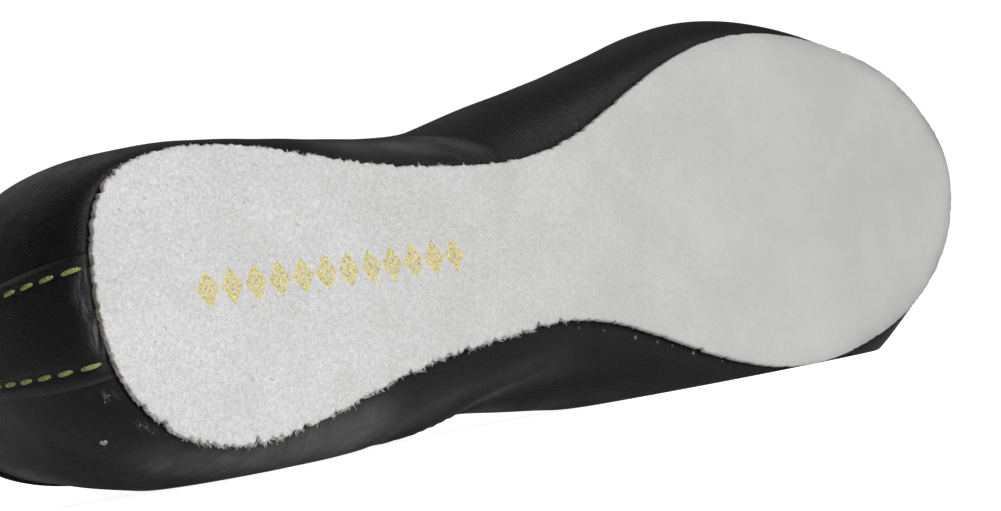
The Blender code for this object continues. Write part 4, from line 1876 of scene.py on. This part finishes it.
@dataclass
class LaceLoops:
    """Four leather lace loops on each side of the throat."""

    upper: Upper
    pairs: tuple = (LacePair(160, 0.2), LacePair(141, 1.0), LacePair(122, 1.3),
                    LacePair(103, 0.8))
    ring: float = 4.0
    hole: float = 2.6
    tail: float = 8.5
    tail_width: float = 7.0
    thickness: float = 2.0
    reach: float = 3.4
    level: float = 1.6
    gap: float = 0.3
    turns: int = 48
    spins: int = 12
    squareness: float = 0.7
    tail_overlap: float = 0.3
    tail_grid: tuple = (13, 11)

    def build(self, leather: bpy.types.Material) -> None:
        """Build the eight loops in place of their nodes."""
        for side in Side:
            for number, pair in enumerate(self.pairs, 1):
                label = f"{side.name.lower()}_{number}"
                points, faces = self.loop()
                origin, axes = self.frame_of(pair, side)
                placed = origin + points @ axes
                make_piece(f"loop_{label}", self.upper.last.to_world(placed), faces,
                           [leather], (f"lace_loop_{label}",))

    def frame_of(self, pair: LacePair, side: Side) -> tuple[np.ndarray, np.ndarray]:
        """Where a loop lies.

        Args:
            pair: the pair that it belongs to.
            side: its side of the foot.

        Returns:
            Its origin, and its axes along the edge, towards the opening and inward.
        """
        last = self.upper.last
        places = np.linspace(0.0, last.toe_place, 521)
        rims = last.at(side.value * places)[:, 4]
        place = side.value * float(np.interp(pair.rim_x, rims, places))
        rim = last.profile([place], 2.0)[0]
        along = (last.profile([place + last.step], 2.0)[0]
                 - last.profile([place - last.step], 2.0)[0])
        inner = rim - last.profile([place], self.level)[0]
        along /= np.linalg.norm(along)
        inner -= along * np.dot(inner, along)
        inner /= np.linalg.norm(inner)
        inward = np.cross(along, inner)
        sink = last.wall + self.gap + pair.sink + 0.5 * self.thickness
        return rim + inward * sink, np.stack([along, inner, inward])

    def loop(self) -> tuple[np.ndarray, list]:
        """Points and faces of one loop: a padded tail and a rounded ring.

        Returns:
            Points round the loop's own origin, and rows of point numbers.
        """
        mean, half = 0.5 * (self.ring + self.hole), 0.5 * (self.ring - self.hole)
        thick = 0.5 * self.thickness
        points, faces = [], []
        for turn in np.linspace(0.0, 2.0 * math.pi, self.turns + 1)[:-1]:
            for angle in np.linspace(0.0, 2.0 * math.pi, self.spins + 1)[:-1]:
                out, lift = (math.copysign(abs(way) ** self.squareness, way)
                             for way in (math.cos(angle), math.sin(angle)))
                reach = mean + half * out
                points.append((reach * math.cos(turn),
                               self.reach + reach * math.sin(turn), thick * lift))
        for i in range(self.turns):
            here, there = i * self.spins, (i + 1) % self.turns * self.spins
            for k in range(self.spins):
                following = (k + 1) % self.spins
                faces.append((here + k, here + following, there + following, there + k))
        rows, columns = self.tail_grid
        for side in (1.0, -1.0):
            start = len(points)
            for i, y in enumerate(np.linspace(-self.tail, self.tail_overlap, rows)):
                end = min(1.0, 0.25 + i * 0.6)
                for x in np.linspace(-1.0, 1.0, columns):
                    swell = math.sqrt(1.0 - abs(x) ** 6)
                    points.append((0.5 * self.tail_width * x, y,
                                   side * thick * swell * end))
            quads = start + grid_faces(rows, columns, closed=False, flip=side > 0.0)
            faces.extend(quads.tolist())
        return np.array(points, float), faces


@dataclass
class Studio:
    """Lit pale table, soft lights and the camera at the photograph's angle."""

    last: Last
    view_from: tuple = (-265.02, 22.14, -392.62)
    view_right: tuple = (0.72425, 0.22342, -0.65234)
    view_down: tuple = (-0.13985, 0.97398, 0.17831)
    view_ahead: tuple = (0.67521, -0.03791, 0.73665)
    lens: float = 97.4
    sensor: float = 36.0
    floor_half: float = 30.0
    floor_tones: tuple = ((0.80, 0.80, 0.80), (0.83, 0.83, 0.83))
    floor_rough: float = 0.9
    table_glow: float = 0.94
    table_fill: float = 0.16
    backdrop_glow: float = 1.1
    room_glow: float = 0.08
    suns: tuple = (
        ("soft_front", (-0.08, 0.82, -0.50), 2.78, 60.0),
        ("soft_top", (-0.35, -0.30, -0.9), 0.10, 50.0),
        ("soft_back", (-0.05, -0.75, -0.65), 0.30, 50.0),
    )

    def build(self) -> None:
        """Build the whole studio."""
        self._floor()
        self._room()
        for name, aim, power, spread in self.suns:
            self._sun(name, np.array(aim), power, spread)
        self._camera()
        bpy.context.scene.view_settings.view_transform = "Standard"

    def _floor(self) -> None:
        """Wide pale table top that glows softly, so shadows on it stay faint."""
        half = self.floor_half
        mesh = bpy.data.meshes.new("floor")
        mesh.from_pydata([(-half, -half, 0), (half, -half, 0), (half, half, 0),
                          (-half, half, 0)], [], [(0, 1, 2, 3)])
        floor = bpy.data.objects.new("floor", mesh)
        bpy.context.scene.collection.objects.link(floor)
        material, sheet, shader = new_material("pale_floor")
        colour = sheet.mix(sheet.noise(sheet.place(), 9.0, 3.0), *self.floor_tones)
        path = sheet.node("ShaderNodeLightPath")
        seen = sheet.product(path.outputs["Is Camera Ray"], self.table_glow)
        sheet.feed(shader, {
            "Base Color": colour, "Roughness": self.floor_rough,
            "Specular IOR Level": 0.0,
            "Emission Color": WHITE,
            "Emission Strength": sheet.maths("MAXIMUM", seen, self.table_fill)})
        mesh.materials.append(material)
        floor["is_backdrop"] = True

    def _room(self) -> None:
        """White behind the shoe, with a dimmer room around it."""
        world = bpy.data.worlds.new("studio")
        world.use_nodes = True
        background = world.node_tree.nodes["Background"]
        sheet = Sheet(world.node_tree)
        path = sheet.node("ShaderNodeLightPath")
        seen = sheet.product(path.outputs["Is Camera Ray"], self.backdrop_glow)
        sheet.feed(background, {
            "Strength": sheet.maths("MAXIMUM", seen, self.room_glow), "Color": WHITE})
        bpy.context.scene.world = world

    @staticmethod
    def _sun(name: str, aim: np.ndarray, power: float, spread: float) -> None:
        """Add a wide soft light that shines along aim.

        Args:
            name: the light's name.
            aim: where it shines.
            power: its strength.
            spread: its width in degrees.
        """
        lamp = bpy.data.lights.new(name, "SUN")
        lamp.energy = power
        lamp.angle = math.radians(spread)
        item = bpy.data.objects.new(name, lamp)
        way = aim / np.linalg.norm(aim)
        side = np.cross((0.0, 0.0, 1.0), way)
        side /= np.linalg.norm(side)
        turn = Matrix(np.stack([side, np.cross(-way, side), -way], axis=1).tolist())
        item.matrix_world = turn.to_4x4()
        bpy.context.scene.collection.objects.link(item)

    def _camera(self) -> None:
        """Camera where the photograph's was, against the shoe."""
        data = bpy.data.cameras.new("camera")
        data.sensor_fit = "HORIZONTAL"
        data.sensor_width = self.sensor
        data.lens = self.lens
        data.clip_start = 0.01
        data.clip_end = 100.0
        camera = bpy.data.objects.new("camera", data)
        place = np.eye(4)
        place[:3, 0] = self.last.turn @ np.array(self.view_right)
        place[:3, 1] = -self.last.turn @ np.array(self.view_down)
        place[:3, 2] = -self.last.turn @ np.array(self.view_ahead)
        place[:3, 3] = self.last.to_world(np.array(self.view_from))
        camera.matrix_world = Matrix(place.tolist())
        bpy.context.scene.collection.objects.link(camera)
        bpy.context.scene.camera = camera


def corners() -> list:
    """The shown object's box as plain lists of metres."""
    low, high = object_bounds()
    return [list(low), list(high)]


def main() -> None:
    """Build the dressed shoe and its studio."""
    logging.basicConfig(level=logging.INFO, format="%(name)s: %(message)s")
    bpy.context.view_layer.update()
    effects = Effects()
    leather = BlackLeather(marked=True).build(effects)
    strap = BlackLeather(name="strap_leather", cells=1700.0).build(effects)
    suede = Suede().build(effects)
    lining = Lining().build(effects)
    fluff = Fibre("suede_fibre", (0.72, 0.71, 0.68), (0.46, 0.44, 0.40)).build()
    glue = Fibre("dried_glue", (0.62, 0.62, 0.63), (0.27, 0.27, 0.28), 0.6).build()
    old = Fibre("old_glue", (0.19, 0.19, 0.20), (0.06, 0.06, 0.065), 0.6).build()
    yellow = Thread("yellow_thread", (0.42, 0.44, 0.13), (0.095, 0.10, 0.028)).build()
    black = Thread("black_thread", (0.02, 0.02, 0.022), (0.006, 0.006, 0.007)).build()
    last = Last()
    upper = Upper(last)
    upper.build(leather, lining)
    Outsole(last).build(suede, fluff)
    lift = 2.0 * last.gap + last.wall
    Plate(last, 2.2, lift, lift + 1.5, around=640).build(
        "insole_cover", "insole", "insole_lining", 0.0, lining)
    BackStrip(upper).build(leather, yellow)
    Binding(upper).build(strap)
    ToplineSeams(upper).build(black)
    LaceLoops(upper).build(strap)
    GlueSpecks(upper).build(glue, old)
    Studio(last).build()


if __name__ == "__main__":
    main()
